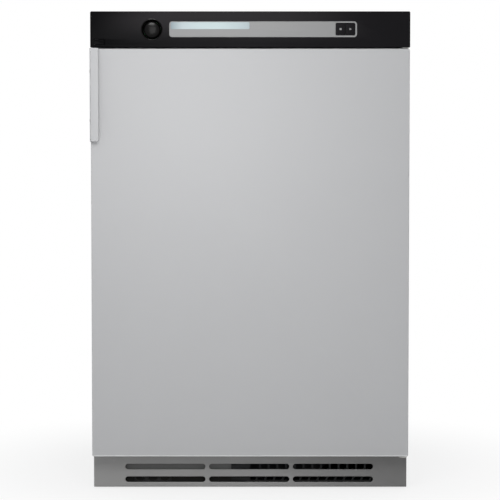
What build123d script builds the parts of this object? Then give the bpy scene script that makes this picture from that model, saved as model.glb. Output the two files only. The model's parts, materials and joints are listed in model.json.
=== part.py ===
"""Front-loading vented tumble dryer with a full-height door, a slotted plinth and a belt-driven drum.

Millimetres. X points right, the front faces -Y and Z points up. The origin lies on the floor, under the
middle of the machine.
"""

from build123d import *
from math import asin, atan2, cos, degrees, hypot, radians, sin, tan
import os

os.makedirs("parts", exist_ok=True)

# Overall size
cabinet_width = 595.0
cabinet_height = 900.0
body_depth = 590.0
handle_stand_off = 16.0
spigot_reach = 26.0

# Sheets, walls and general clearances
sheet = 1.2
base_sheet = 1.5
moulding_wall = 2.5
bend_radius = 3.0
seam = 0.5
running_gap = 0.05
free_gap = 0.3
slide_gap = 0.4
hexagon_sides = 6

# Front layout, from the top down
panel_height = 65.0
door_gap = 4.0
door_thickness = 42.0
door_side_inset = 0.5
door_rear_gap = 4.0
plinth_height = 59.0
plinth_gap = 5.5
plinth_recess = 38.0
plinth_floor_gap = 3.0

# Casing
casing_flange = 18.0
field_margin = 70.0
field_depth = 2.0
field_radius = 24.0
field_taper = 45.0
lid_height = 22.0
lid_edge_radius = 3.0
base_bottom = 10.0
base_wall_height = 44.0
rail_height = 22.0
rail_depth = 30.0
rear_sheet_recess = 68.0
casing_screw_radius = 4.0
casing_screw_head = 2.0
casing_screw_row_count = 4
louvre_column_count = 2
louvre_row_count = 4
louvre_length = 46.0
louvre_height = 5.0
louvre_pitch_x = 60.0
louvre_pitch_z = 15.0
louvre_offset_x = 200.0
louvre_middle = 730.0

# Feet
foot_inset_side = 42.0
foot_inset_front = 85.0
foot_inset_back = 40.0
foot_radius = 22.0
foot_pad_height = 6.0
foot_nut_height = 3.5
foot_stem_radius = 5.0
foot_stem_length = 34.0
foot_boss_radius = 9.0
foot_boss_height = 20.0

# Drum and mouth
drum_side_gap = 10.5
drum_floor_gap = 213.0
drum_sheet = 1.0
drum_front_gap = 68.0
drum_rear_gap = 21.0
drum_bead_width = 14.0
drum_bead_height = 3.5
drum_bead_inset = 55.0
mouth_radius = 195.0
mouth_wall = 3.0
mouth_flange = 14.0
mouth_depth = 64.0
collar_gap = 11.0
collar_length = 25.0
lifter_height = 46.0
lifter_base = 52.0
lifter_top = 24.0
lifter_rear_gap = 35.0
lifter_count = 3
perforation_radius = 6.0
perforation_row_count = 3
perforation_pitch = 33.0
perforation_first_radius = 72.0
perforation_first_count = 12
perforation_added_count = 6
spoke_count = 6
spoke_width = 16.0
hub_radius = 48.0
shaft_radius = 12.5
shaft_flange_radius = 46.0
shaft_flange_thickness = 3.0
shaft_length = 46.0
bearing_radius = 24.0
bearing_length = 30.0
seal_thickness = 10.0

# Support rollers
roller_radius = 25.0
roller_width = 20.0
roller_angle = 35.0
roller_axle_radius = 5.0
roller_hub_radius = 14.0
roller_tyre_width = 14.0
roller_boss_radius = 8.0
roller_foot_radius = 15.0

# Motor, belt and blower
motor_x = 90.0
motor_radius = 55.0
motor_length = 130.0
motor_rib = 2.0
motor_rib_inset = 13.0
motor_foot_width = 88.0
motor_shaft_radius = 5.0
blower_width = 104.0
blower_gap = 6.0
scroll_start_radius = 84.0
scroll_end_radius = 99.0
scroll_turn = 270.0
scroll_arc_count = 3
wheel_radius = 75.0
wheel_length = 78.0
wheel_blade_length = 17.0
wheel_blade_count = 24
wheel_blade_angle = 35.0
wheel_plate = 2.0
wheel_blade_thickness = 1.4
wheel_hub_radius = 15.0
wheel_hub_length = 26.0
inlet_radius = 58.0
pulley_radius = 6.0
pulley_flange = 3.0
belt_width = 8.0
belt_thickness = 2.0
belt_setback = 25.0
idler_radius = 22.0
idler_width = 14.0
idler_offset_x = 41.0
idler_offset_z = 45.0
idler_pivot_x = 48.0
idler_pivot_z = -8.0
idler_axle_radius = 4.0
idler_arm_thickness = 4.0
idler_boss_radius = 6.5
spring_wire = 1.5
spring_leg = 16.0

# Air path
exhaust_radius = 50.0
exhaust_wall = 1.5
spigot_step = 2.0
exhaust_x = -130.0
exhaust_height = 67.5
exhaust_bend = 80.0
exhaust_mitre_turn = 45.0
duct_wall = 1.5
heater_duct_radius = 165.0
heater_duct_depth = 50.0
heater_leg_width = 140.0
heater_leg_bottom = 76.0
heater_rod_radius = 3.5
heater_rod_spacing = 26.0
heater_rod_length = 200.0
heater_run_count = 4
front_duct_top_drop = 97.0
front_duct_shoulder_drop = 272.0

# Lint filter
filter_width = 196.0
filter_thickness = 24.0
filter_setback = 18.0
filter_depth = 130.0
filter_rim = 8.0
filter_mesh = 1.0
filter_slot_count = 7
filter_slot_width = 10.0

# Door
door_sheet = 1.2
door_corner_radius = 3.0
door_edge_radius = 2.0
liner_wall = 2.5
liner_skirt = 10.0
dish_gap = 21.0
dish_slope = 26.0
dish_height = 18.0
door_seal_gap = 6.0
door_seal_width = 14.0
hinge_inset = 9.0
hinge_setback = 14.0
hinge_pin_radius = 4.0
hinge_pin_length = 14.0
hinge_plate = 2.0
hinge_plate_radius = 8.0
hinge_leg_width = 22.0
hinge_leg_length = 34.0
bush_block = 26.0
catch_width = 24.0
catch_height = 40.0
catch_inset = 48.0
catch_drop = 86.5
catch_thickness = 2.0
handle_length = 173.0
handle_width = 16.4
handle_flange = 4.0
handle_side_sheet = 1.4
handle_side_depth = 28.0
handle_corner_radius = 4.5
handle_screw_top = 41.0
handle_screw_pitch = 92.0
handle_screw_radius = 4.5
handle_screw_head = 2.0
liner_screw_radius = 3.5
liner_screw_head = 1.2
liner_screw_inset = 14.0
liner_screw_pitch = 152.7
liner_screw_count = 5

# Control panel
panel_edge_radius = 2.5
knob_inset = 114.5
knob_drop = 33.7
knob_radius = 15.5
knob_dome = 3.0
knob_dome_radius = 9.0
knob_wall = 1.8
knob_length = 15.0
bezel_radius = 20.25
bezel_lip = 0.8
bezel_bore = 16.8
knob_shaft_radius = 3.0
strip_left_inset = 147.1
strip_right_inset = 99.1
strip_height = 29.0
strip_drop = 33.3
strip_radius = 5.5
strip_thickness = 2.3
strip_proud = 0.8
window_inset = 3.0
window_width = 146.1
window_height = 13.0
window_drop = 26.6
window_flange = 2.75
window_radius = 1.5
button_inset = 3.2
button_width = 17.9
button_height = 22.5
button_drop = 33.05
button_split = 0.5
button_radius = 2.5
button_proud = 1.4
button_depth = 5.0
button_travel = 1.0
button_flange = 1.5
button_flange_drop = 0.7
switch_inset = 7.5
switch_width = 19.0
switch_height = 10.0
switch_drop = 57.0
switch_depth = 12.0
switch_body_width = 13.0
switch_travel = 3.0
board_setback = 26.0
board_thickness = 1.6
board_height = 50.0
encoder_depth = 8.0
encoder_width = 18.0
relay_width = 18.0
relay_margin = 40.0
key_switch_width = 5.0

# Plinth and what stands behind it
plinth_wall = 2.5
plinth_return = 5.5
slot_length = 152.5
slot_height = 10.5
slot_pitch = 159.5
slot_count = 3
slot_rows = (17.6, 41.9)
slot_offset = -2.0
grille_left = -36.0
grille_pad = 36.0
grille_right_inset = 43.5
grille_depth = 6.0
grille_frame = 4.0
grille_rib = 3.5
grille_pitch = 17.3
grille_lean = 8.0
blank_left_inset = 45.5
blank_thickness = 3.0
blank_drop = 30.0
blank_tab_inset = 31.0
blank_tab_width = 70.0
oval_count = 3
oval_width = 17.6
oval_height = 8.8

# Mains inlet
inlet_inset = 82.5
inlet_height = 135.0
inlet_width = 50.0
inlet_body_height = 34.0
inlet_proud = 4.0
inlet_depth = 30.0
inlet_wall = 3.0
blade_thickness = 2.0
blade_width = 6.0
blade_pitch = 9.0

# Places that follow from the sizes above
half_width = cabinet_width / 2
drum_radius = half_width - drum_side_gap
drum_axis_height = drum_radius + drum_floor_gap
door_face = handle_stand_off - (handle_stand_off + body_depth + spigot_reach) / 2
back_face = door_face + body_depth
door_back = door_face + door_thickness
bulkhead_face = door_back + door_rear_gap
bulkhead_back = bulkhead_face + sheet
panel_bottom = cabinet_height - panel_height
panel_back = bulkhead_face - hinge_plate - seam
plinth_top = plinth_floor_gap + plinth_height
door_top = panel_bottom - door_gap
door_bottom = plinth_top + plinth_gap
door_height = door_top - door_bottom
door_half_width = half_width - door_side_inset
plinth_face = door_face + plinth_recess
casing_top = cabinet_height - lid_height - seam
base_front = bulkhead_back + sheet + slide_gap
base_back = back_face - 2 * sheet - slide_gap
base_half_width = half_width - sheet - slide_gap
base_floor = base_bottom + base_sheet
rear_sheet_face = back_face - rear_sheet_recess
drum_front = bulkhead_face + drum_front_gap
shaft_start = rear_sheet_face - drum_rear_gap
drum_back_plane = shaft_start - drum_sheet
drum_inner_radius = drum_radius - drum_sheet
collar_radius = drum_inner_radius - collar_gap
duct_reach = inlet_radius + moulding_wall
pipe_radius = exhaust_radius - spigot_step
motor_height = base_bottom + base_wall_height + seam + duct_reach
dish_base_radius = mouth_radius - dish_gap
dish_radius = dish_base_radius - dish_slope
door_seal_radius = mouth_radius + mouth_flange + door_seal_gap
knob_x = -half_width + knob_inset
knob_height = cabinet_height - knob_drop
strip_left = -half_width + strip_left_inset
strip_right = half_width - strip_right_inset
strip_width = strip_right - strip_left
window_left = strip_left + window_inset
button_left = strip_right - button_inset - 2 * button_width - button_split
switch_left = -half_width + switch_inset
grille_right = half_width - grille_right_inset
blank_left = -half_width + blank_left_inset
blank_tab_left = blank_left + blank_tab_inset
inlet_x = half_width - inlet_inset
strip_middle = cabinet_height - strip_drop
window_middle = cabinet_height - window_drop
button_middle = cabinet_height - button_drop
switch_middle = cabinet_height - switch_drop
drum_axis = Axis((0, 0, drum_axis_height), (0, 1, 0))
knob_axis = Axis((knob_x, 0, knob_height), (0, 1, 0))
hinge_x = door_half_width - hinge_inset
hinge_y = door_face + hinge_setback


def block(x, y, z, mode=Mode.ADD):
    """Adds a box that spans a (low, high) pair along each axis to the open part."""
    middle = tuple((low + high) / 2 for low, high in (x, y, z))
    with Locations(middle):
        Box(x[1] - x[0], y[1] - y[0], z[1] - z[0], mode=mode)


def bar(radius, y, x, z, mode=Mode.ADD):
    """Adds a round bar along Y, from y[0] to y[1], to the open part."""
    with Locations(Location((x, (y[0] + y[1]) / 2, z), (90, 0, 0))):
        Cylinder(radius, y[1] - y[0], mode=mode)


def post(radius, z, x, y, mode=Mode.ADD):
    """Adds a round post along Z, from z[0] to z[1], to the open part."""
    with Locations((x, y, (z[0] + z[1]) / 2)):
        Cylinder(radius, z[1] - z[0], mode=mode)


def facing_front(y):
    """Returns the upright plane at depth y, drawn in X and Z, whose extrusions by -d run back by d."""
    return Plane.XZ.offset(-y)


def turned_about(x, z):
    """Returns the plane for a profile in (radius, y) that turns about the line along Y through x and z."""
    return Plane(origin=(x, 0, z))


# Side panels: a folded sheet with a flange at the front and the back and a pressed field in its middle
def side_panel(side):
    """Returns one side panel; side is -1 for the left one and 1 for the right one."""
    centre_x = side * (half_width - sheet / 2)
    flange_x = side * (half_width - casing_flange)
    front_y = bulkhead_back + sheet / 2
    back_y = back_face - sheet - sheet / 2
    middle_y = (front_y + back_y) / 2
    middle_z = (base_bottom + casing_top) / 2
    with BuildPart() as panel:
        with BuildSketch(Plane.XY.offset(base_bottom)):
            with BuildLine() as fold:
                FilletPolyline(
                    (flange_x, front_y),
                    (centre_x, front_y),
                    (centre_x, back_y),
                    (flange_x, back_y),
                    radius=bend_radius,
                )
            trace(fold.line, line_width=sheet)
        extrude(amount=casing_top - base_bottom)
        outside = Plane(origin=(side * half_width, middle_y, middle_z), x_dir=(0, 1, 0), z_dir=(side, 0, 0))
        field_length = back_y - front_y - 2 * field_margin
        field_height = casing_top - base_bottom - 2 * field_margin
        with BuildSketch(outside.offset(-sheet)):
            RectangleRounded(field_length, field_height, field_radius)
        extrude(amount=-field_depth, taper=field_taper)
        with BuildSketch(outside):
            RectangleRounded(field_length, field_height, field_radius)
        extrude(amount=-field_depth, taper=field_taper, mode=Mode.SUBTRACT)
    return panel


side_left = side_panel(-1)
side_left.part.label = "side_panel_left"
export_step(side_left.part, "parts/side_panel_left.step")

side_right = side_panel(1)
side_right.part.label = "side_panel_right"
export_step(side_right.part, "parts/side_panel_right.step")

# Back panel: a flat sheet with the exhaust and mains holes and rows of louvre slots
back_half_width = half_width - 2 * bend_radius
with BuildPart() as back_panel:
    block(
        (-back_half_width, back_half_width),
        (back_face - sheet, back_face),
        (base_bottom + seam, casing_top - seam),
    )
    bar(
        pipe_radius + seam,
        (back_face - 2 * sheet, back_face + sheet),
        exhaust_x,
        exhaust_height,
        Mode.SUBTRACT,
    )
    block(
        (inlet_x - inlet_width / 2 + inlet_proud, inlet_x + inlet_width / 2 - inlet_proud),
        (back_face - 2 * sheet, back_face + sheet),
        (inlet_height - inlet_body_height / 2, inlet_height + inlet_body_height / 2),
        Mode.SUBTRACT,
    )
    with BuildSketch(facing_front(back_face)):
        for side in (-1, 1):
            with Locations((side * louvre_offset_x, louvre_middle)):
                with GridLocations(louvre_pitch_x, louvre_pitch_z, louvre_column_count, louvre_row_count):
                    Rectangle(louvre_length, louvre_height)
    extrude(amount=sheet, both=True, mode=Mode.SUBTRACT)
back_panel.part.label = "back_panel"
export_step(back_panel.part, "parts/back_panel.step")

# Casing screws: hexagonal heads up both edges of the back panel
with BuildPart() as casing_screws:
    screw_pitch = (casing_top - base_bottom) / casing_screw_row_count
    with BuildSketch(facing_front(back_face)):
        with Locations((0, (casing_top + base_bottom) / 2)):
            with GridLocations(2 * back_half_width - casing_flange, screw_pitch, 2, casing_screw_row_count):
                RegularPolygon(casing_screw_radius, hexagon_sides)
    extrude(amount=-casing_screw_head)
casing_screws.part.label = "casing_screws"
export_step(casing_screws.part, "parts/casing_screws.step")

# Top lid: a pressed shell, open below
lid_front = panel_back + seam
with BuildPart() as top_lid:
    block((-half_width, half_width), (lid_front, back_face), (cabinet_height - lid_height, cabinet_height))
    lid_corners = top_lid.edges().filter_by(Axis.Z).sort_by(Axis.Y)[-2:]
    fillet(lid_corners, lid_edge_radius)
    lid_rim = top_lid.faces().sort_by(Axis.Z)[-1].edges().sort_by(Axis.Y)[1:]
    fillet(lid_rim, lid_edge_radius)
    offset(amount=-sheet, openings=top_lid.faces().sort_by(Axis.Z)[0])
top_lid.part.label = "top_lid"
export_step(top_lid.part, "parts/top_lid.step")

# Base tray: an open pressed tray with a boss over each foot
foot_places = {
    "foot_front_left": (-half_width + foot_inset_side, door_face + foot_inset_front),
    "foot_front_right": (half_width - foot_inset_side, door_face + foot_inset_front),
    "foot_back_left": (-half_width + foot_inset_side, back_face - foot_inset_back),
    "foot_back_right": (half_width - foot_inset_side, back_face - foot_inset_back),
}
window_top = base_bottom + base_wall_height - grille_frame
with BuildPart() as base_tray:
    block(
        (-base_half_width, base_half_width),
        (base_front, base_back),
        (base_bottom, base_bottom + base_wall_height),
    )
    fillet(base_tray.edges().filter_by(Axis.Z), bend_radius)
    offset(amount=-base_sheet, openings=base_tray.faces().sort_by(Axis.Z)[-1])
    block(
        (grille_left + grille_pad, grille_right - grille_frame),
        (base_front - base_sheet, base_front + 2 * base_sheet),
        (base_floor + base_sheet, window_top),
        Mode.SUBTRACT,
    )
    bar(
        pipe_radius + seam,
        (base_back - 2 * base_sheet, base_back + base_sheet),
        exhaust_x,
        exhaust_height,
        Mode.SUBTRACT,
    )
    for foot_x, foot_y in foot_places.values():
        post(foot_boss_radius, (base_bottom, base_floor + foot_boss_height), foot_x, foot_y)
    for foot_x, foot_y in foot_places.values():
        post(
            foot_stem_radius + running_gap,
            (0, base_floor + 2 * foot_boss_height),
            foot_x,
            foot_y,
            Mode.SUBTRACT,
        )
base_tray.part.label = "base_tray"
export_step(base_tray.part, "parts/base_tray.step")

# Levelling feet: a pad, a lock nut and a threaded stem that screws into the tray's boss
for foot_name, (foot_x, foot_y) in foot_places.items():
    with BuildPart() as foot:
        post(foot_radius, (0, foot_pad_height), foot_x, foot_y)
        with BuildSketch(Plane(origin=(foot_x, foot_y, foot_pad_height))):
            RegularPolygon(foot_boss_radius, hexagon_sides)
        extrude(amount=foot_nut_height)
        post(foot_stem_radius, (foot_pad_height, foot_pad_height + foot_stem_length), foot_x, foot_y)
    foot.part.label = foot_name
    export_step(foot.part, f"parts/{foot_name}.step")

# Front bulkhead: the sheet that the door closes on, with the mouth hole and two legs down to the base
bulkhead_bottom = plinth_top - hinge_leg_length
leg_width = half_width - grille_right - grille_frame
with BuildPart() as front_bulkhead:
    block((-half_width, half_width), (bulkhead_face, bulkhead_back), (bulkhead_bottom, casing_top))
    block(
        (-half_width + leg_width, half_width - leg_width),
        (bulkhead_face - sheet, bulkhead_back + sheet),
        (0, plinth_top - seam),
        Mode.SUBTRACT,
    )
    bar(
        mouth_radius + mouth_flange - mouth_wall,
        (bulkhead_face - sheet, bulkhead_back + sheet),
        0,
        drum_axis_height,
        Mode.SUBTRACT,
    )
front_bulkhead.part.label = "front_bulkhead"
export_step(front_bulkhead.part, "parts/front_bulkhead.step")

# Mouth ring: the moulded lining of the mouth and the shield that closes the front of the drum
filter_front = bulkhead_face + filter_setback
filter_back = filter_front + filter_thickness
filter_half_width = filter_width / 2
filter_shoulder = drum_axis_height - (mouth_radius**2 - filter_half_width**2) ** 0.5
mouth_back = bulkhead_face + mouth_depth
with BuildPart() as mouth_ring:
    with BuildSketch(turned_about(0, drum_axis_height)):
        with BuildLine():
            Polyline(
                (mouth_radius, bulkhead_face - sheet),
                (mouth_radius + mouth_flange, bulkhead_face - sheet),
                (mouth_radius + mouth_flange, bulkhead_face),
                (mouth_radius + mouth_wall, bulkhead_face),
                (mouth_radius + mouth_wall, mouth_back - mouth_wall),
                (collar_radius, mouth_back - mouth_wall),
                (collar_radius, mouth_back + collar_length),
                (collar_radius - mouth_wall, mouth_back + collar_length),
                (collar_radius - mouth_wall, mouth_back),
                (mouth_radius, mouth_back),
                close=True,
            )
        make_face()
    revolve(axis=drum_axis)
    block(
        (-filter_half_width - slide_gap, filter_half_width + slide_gap),
        (filter_front - slide_gap, filter_back + slide_gap),
        (drum_axis_height - mouth_radius - 2 * mouth_wall, filter_shoulder + mouth_wall),
        Mode.SUBTRACT,
    )
mouth_ring.part.label = "mouth_ring"
export_step(mouth_ring.part, "parts/mouth_ring.step")

# Drum seals: a felt ring on the mouth's collar and another on the rear bulkhead
rear_seal_radius = heater_duct_radius
with BuildPart() as drum_seals:
    front_seal_start = drum_front + mouth_wall
    with BuildSketch(facing_front(front_seal_start)):
        with Locations((0, drum_axis_height)):
            Circle(drum_inner_radius - free_gap)
            Circle(collar_radius, mode=Mode.SUBTRACT)
    extrude(amount=front_seal_start - mouth_back - collar_length + mouth_wall)
    with BuildSketch(facing_front(shaft_start + free_gap)):
        with Locations((0, drum_axis_height)):
            Circle(rear_seal_radius + seal_thickness)
            Circle(rear_seal_radius, mode=Mode.SUBTRACT)
    extrude(amount=shaft_start + free_gap - rear_sheet_face)
drum_seals.part.label = "drum_seals"
export_step(drum_seals.part, "parts/drum_seals.step")

# Rear bulkhead: a sheet with a ring of air openings round the bearing's spider
rear_sheet_bottom = exhaust_height + exhaust_radius + moulding_wall
with BuildPart() as rear_bulkhead:
    block(
        (-base_half_width, base_half_width),
        (rear_sheet_face, rear_sheet_face + sheet),
        (rear_sheet_bottom, casing_top - rail_height - rail_depth),
    )
    with BuildSketch(facing_front(rear_sheet_face)):
        with Locations((0, drum_axis_height)):
            Circle(rear_seal_radius - seal_thickness)
            Circle(hub_radius, mode=Mode.SUBTRACT)
            with PolarLocations(0, spoke_count):
                Rectangle(2 * rear_seal_radius, spoke_width, mode=Mode.SUBTRACT)
    extrude(amount=-sheet, mode=Mode.SUBTRACT)
    bar(
        bearing_radius,
        (rear_sheet_face - sheet, rear_sheet_face + 2 * sheet),
        0,
        drum_axis_height,
        Mode.SUBTRACT,
    )
rear_bulkhead.part.label = "rear_bulkhead"
export_step(rear_bulkhead.part, "parts/rear_bulkhead.step")

# Rear bearing: a flanged bush for the drum shaft
bearing_start = rear_sheet_face - bearing_length / 3
with BuildPart() as rear_bearing:
    bar(bearing_radius, (bearing_start, bearing_start + bearing_length), 0, drum_axis_height)
    bar(
        hub_radius - sheet,
        (rear_sheet_face + sheet, rear_sheet_face + sheet + moulding_wall),
        0,
        drum_axis_height,
    )
    bar(
        shaft_radius + running_gap,
        (bearing_start - sheet, bearing_start + bearing_length + sheet),
        0,
        drum_axis_height,
        Mode.SUBTRACT,
    )
rear_bearing.part.label = "rear_bearing"
export_step(rear_bearing.part, "parts/rear_bearing.step")

# Cross rails: two channels that tie the side panels under the lid
rail_top = casing_top - 2 * sheet
rail_half_length = half_width - sheet / 2 - bend_radius
front_rail_y = bulkhead_back + sheet + sheet / 2
rear_rail_y = back_face - 2 * sheet - sheet / 2 - rail_depth
with BuildPart() as cross_rails:
    for rail_y in (front_rail_y, rear_rail_y):
        with BuildSketch(Plane.YZ.offset(-rail_half_length)):
            with BuildLine() as channel:
                Polyline(
                    (rail_y, rail_top - rail_height),
                    (rail_y, rail_top),
                    (rail_y + rail_depth, rail_top),
                    (rail_y + rail_depth, rail_top - rail_height),
                )
            trace(channel.line, line_width=sheet)
        extrude(amount=2 * rail_half_length)
cross_rails.part.label = "cross_rails"
export_step(cross_rails.part, "parts/cross_rails.step")

# Drum shell: a rolled cylinder with an inward bead near each end
def shell_line(radius):
    """Returns the points of one face of the shell, from front to back, with its beads."""
    points = [(radius, drum_front)]
    for bead_y in (drum_front + drum_bead_inset, shaft_start - drum_bead_inset):
        points += [
            (radius, bead_y - drum_bead_width / 2),
            (radius - drum_bead_height, bead_y),
            (radius, bead_y + drum_bead_width / 2),
        ]
    return points + [(radius, shaft_start)]


with BuildPart() as drum_shell:
    with BuildSketch(turned_about(0, drum_axis_height)):
        with BuildLine():
            Polyline(*shell_line(drum_radius), *reversed(shell_line(drum_inner_radius)), close=True)
        make_face()
    revolve(axis=drum_axis)
drum_shell.part.label = "drum_shell"
export_step(drum_shell.part, "parts/drum_shell.step")

# Drum back: a pressed disc with rings of six-sided air holes
with BuildPart() as drum_back:
    bar(drum_inner_radius, (drum_back_plane, shaft_start), 0, drum_axis_height)
    with BuildSketch(facing_front(drum_back_plane)):
        with Locations((0, drum_axis_height)):
            Circle(drum_inner_radius)
            Circle(drum_inner_radius - drum_sheet, mode=Mode.SUBTRACT)
    extrude(amount=seal_thickness)
    with BuildSketch(facing_front(drum_back_plane)):
        with Locations((0, drum_axis_height)):
            for row in range(perforation_row_count):
                row_radius = perforation_first_radius + row * perforation_pitch
                row_count = perforation_first_count + row * perforation_added_count
                with PolarLocations(row_radius, row_count):
                    RegularPolygon(perforation_radius, hexagon_sides)
    extrude(amount=-drum_sheet, mode=Mode.SUBTRACT)
drum_back.part.label = "drum_back"
export_step(drum_back.part, "parts/drum_back.step")

# Lifters: three ribs along the inside of the drum
lifter_start = mouth_back + collar_length + seal_thickness
lifter_length = drum_back_plane - lifter_rear_gap - lifter_start
lifter_foot = drum_inner_radius - drum_bead_height
lifter_crest = lifter_foot - lifter_height
with BuildPart() as drum_lifters:
    lifter_plane = Plane(origin=(0, lifter_start, drum_axis_height), x_dir=(1, 0, 0), z_dir=(0, -1, 0))
    with BuildSketch(lifter_plane):
        with PolarLocations(0, lifter_count, start_angle=90):
            Polygon(
                (drum_radius, -lifter_base / 2),
                (drum_radius, lifter_base / 2),
                (lifter_crest + lifter_top / 2, lifter_top / 2 + lifter_top / 6),
                (lifter_crest, lifter_top / 4),
                (lifter_crest, -lifter_top / 4),
                (lifter_crest + lifter_top / 2, -lifter_top / 2 - lifter_top / 6),
                align=None,
            )
        Circle(lifter_foot, mode=Mode.INTERSECT)
    extrude(amount=-lifter_length)
drum_lifters.part.label = "drum_lifters"
export_step(drum_lifters.part, "parts/drum_lifters.step")

# Drum shaft: a stub shaft on a flange behind the drum back
with BuildPart() as drum_shaft:
    bar(shaft_flange_radius, (shaft_start, shaft_start + shaft_flange_thickness), 0, drum_axis_height)
    bar(shaft_radius, (shaft_start, shaft_start + shaft_length), 0, drum_axis_height)
    chamfer(drum_shaft.edges().filter_by(GeomType.CIRCLE).sort_by(Axis.Y)[-1], sheet)
drum_shaft.part.label = "drum_shaft"
export_step(drum_shaft.part, "parts/drum_shaft.step")

# Support rollers and their axles, below the front of the drum
roller_start = drum_front + mouth_wall
roller_reach = drum_radius + free_gap + roller_radius
roller_height = drum_axis_height - roller_reach * cos(radians(roller_angle))
for roller_name, side in (("support_roller_left", -1), ("support_roller_right", 1)):
    roller_x = side * roller_reach * sin(radians(roller_angle))
    with BuildPart() as roller:
        tyre_start = roller_start + (roller_width - roller_tyre_width) / 2
        bar(roller_radius, (tyre_start, tyre_start + roller_tyre_width), roller_x, roller_height)
        bar(roller_hub_radius, (roller_start, roller_start + roller_width), roller_x, roller_height)
        bar(
            roller_axle_radius + running_gap,
            (roller_start - sheet, roller_start + roller_width + sheet),
            roller_x,
            roller_height,
            Mode.SUBTRACT,
        )
    roller.part.label = roller_name
    export_step(roller.part, f"parts/{roller_name}.step")

with BuildPart() as roller_axles:
    for side in (-1, 1):
        roller_x = side * roller_reach * sin(radians(roller_angle))
        bar(
            roller_axle_radius,
            (bulkhead_back, roller_start + roller_width + moulding_wall),
            roller_x,
            roller_height,
        )
        bar(
            roller_foot_radius,
            (bulkhead_back, bulkhead_back + moulding_wall),
            roller_x,
            roller_height,
        )
        bar(roller_boss_radius, (bulkhead_back, roller_start - slide_gap), roller_x, roller_height)
roller_axles.part.label = "roller_axles"
export_step(roller_axles.part, "parts/roller_axles.step")

# Blower housing: a scroll round the wheel whose outlet leads left to the exhaust duct
blower_front = drum_front - blower_gap - duct_wall - moulding_wall * 4
blower_back = blower_front + blower_width
outlet_x = motor_x - scroll_end_radius
outlet_y = (blower_front + blower_back) / 2


def scroll_point(turned, margin):
    """Returns the scroll's point after turned degrees from its tongue, drawn in by a margin."""
    radius = scroll_start_radius + (scroll_end_radius - scroll_start_radius) * turned / scroll_turn - margin
    angle = radians(180 - turned)
    return motor_x + radius * cos(angle), motor_height + radius * sin(angle)


def scroll_outline(margin):
    """Draws the scroll and its outlet in the open line."""
    step = scroll_turn / (2 * scroll_arc_count)
    for arc in range(scroll_arc_count):
        ThreePointArc(
            scroll_point(2 * arc * step, margin),
            scroll_point((2 * arc + 1) * step, margin),
            scroll_point((2 * arc + 2) * step, margin),
        )
    bottom = scroll_point(scroll_turn, margin)
    tongue = scroll_point(0, margin)
    Polyline(bottom, (outlet_x + margin, bottom[1]), (outlet_x + margin, tongue[1]), tongue)


with BuildPart() as blower_housing:
    with BuildSketch(facing_front(blower_front)):
        with BuildLine():
            scroll_outline(0)
        make_face()
    extrude(amount=-blower_width)
    with BuildSketch(facing_front(blower_front + duct_wall)):
        with BuildLine():
            scroll_outline(duct_wall)
        make_face()
    extrude(amount=-(blower_width - 2 * duct_wall), mode=Mode.SUBTRACT)
    bar(
        inlet_radius,
        (blower_front - sheet, blower_front + 2 * duct_wall),
        motor_x,
        motor_height,
        Mode.SUBTRACT,
    )
    bar(
        2 * motor_shaft_radius,
        (blower_back - 2 * duct_wall, blower_back + sheet),
        motor_x,
        motor_height,
        Mode.SUBTRACT,
    )
    with Locations(Location((outlet_x, outlet_y, exhaust_height), (0, 90, 0))):
        Cylinder(pipe_radius - exhaust_wall, 4 * duct_wall, mode=Mode.SUBTRACT)
blower_housing.part.label = "blower_housing"
export_step(blower_housing.part, "parts/blower_housing.step")

# Blower wheel: a back plate, forward-curved blades and a front ring
wheel_front = blower_front + duct_wall + blower_gap
wheel_back = wheel_front + wheel_length
with BuildPart() as blower_wheel:
    bar(wheel_radius, (wheel_back - wheel_plate, wheel_back), motor_x, motor_height)
    bar(wheel_hub_radius, (wheel_back - wheel_hub_length, wheel_back), motor_x, motor_height)
    with BuildSketch(facing_front(wheel_front)):
        with Locations((motor_x, motor_height)):
            with PolarLocations(wheel_radius - wheel_blade_length / 2, wheel_blade_count):
                Rectangle(
                    wheel_blade_length - 2 * wheel_plate,
                    wheel_blade_thickness,
                    rotation=wheel_blade_angle,
                )
    extrude(amount=-(wheel_length - wheel_plate))
    with BuildSketch(facing_front(wheel_front)):
        with Locations((motor_x, motor_height)):
            Circle(wheel_radius)
            Circle(wheel_radius - wheel_blade_length / 2, mode=Mode.SUBTRACT)
    extrude(amount=-wheel_plate)
    bar(motor_shaft_radius, (wheel_front, wheel_back + sheet), motor_x, motor_height, Mode.SUBTRACT)
blower_wheel.part.label = "blower_wheel"
export_step(blower_wheel.part, "parts/blower_wheel.step")

# Motor: a ribbed can on two feet, whose bracket carries the idler's post
motor_front = blower_back + blower_gap
motor_back = motor_front + motor_length
belt_plane = motor_back + belt_setback
idler_pivot = (motor_x + idler_pivot_x, motor_height + idler_pivot_z)
idler_centre = (motor_x + idler_offset_x, motor_height + idler_offset_z)
arm_front = motor_back + seal_thickness / 2
idler_front = belt_plane - idler_width / 2
with BuildPart() as motor_housing:
    bar(motor_radius - motor_rib, (motor_front, motor_back), motor_x, motor_height)
    for rib_y in (motor_front + motor_rib_inset, motor_back - motor_rib_inset):
        bar(motor_radius, (rib_y - 2 * motor_rib, rib_y + 2 * motor_rib), motor_x, motor_height)
        block(
            (motor_x - motor_foot_width / 2, motor_x + motor_foot_width / 2),
            (rib_y - motor_rib, rib_y + motor_rib),
            (base_floor, motor_height - motor_radius / 2),
        )
    bar(idler_axle_radius, (motor_back - motor_rib, belt_plane - idler_width / 2), *idler_pivot)
    bar(idler_axle_radius * 2, (motor_back - motor_rib, arm_front - free_gap), *idler_pivot)
    bar(
        motor_shaft_radius + running_gap,
        (motor_front - sheet, motor_back + sheet),
        motor_x,
        motor_height,
        Mode.SUBTRACT,
    )
motor_housing.part.label = "motor_housing"
export_step(motor_housing.part, "parts/motor_housing.step")

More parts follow.
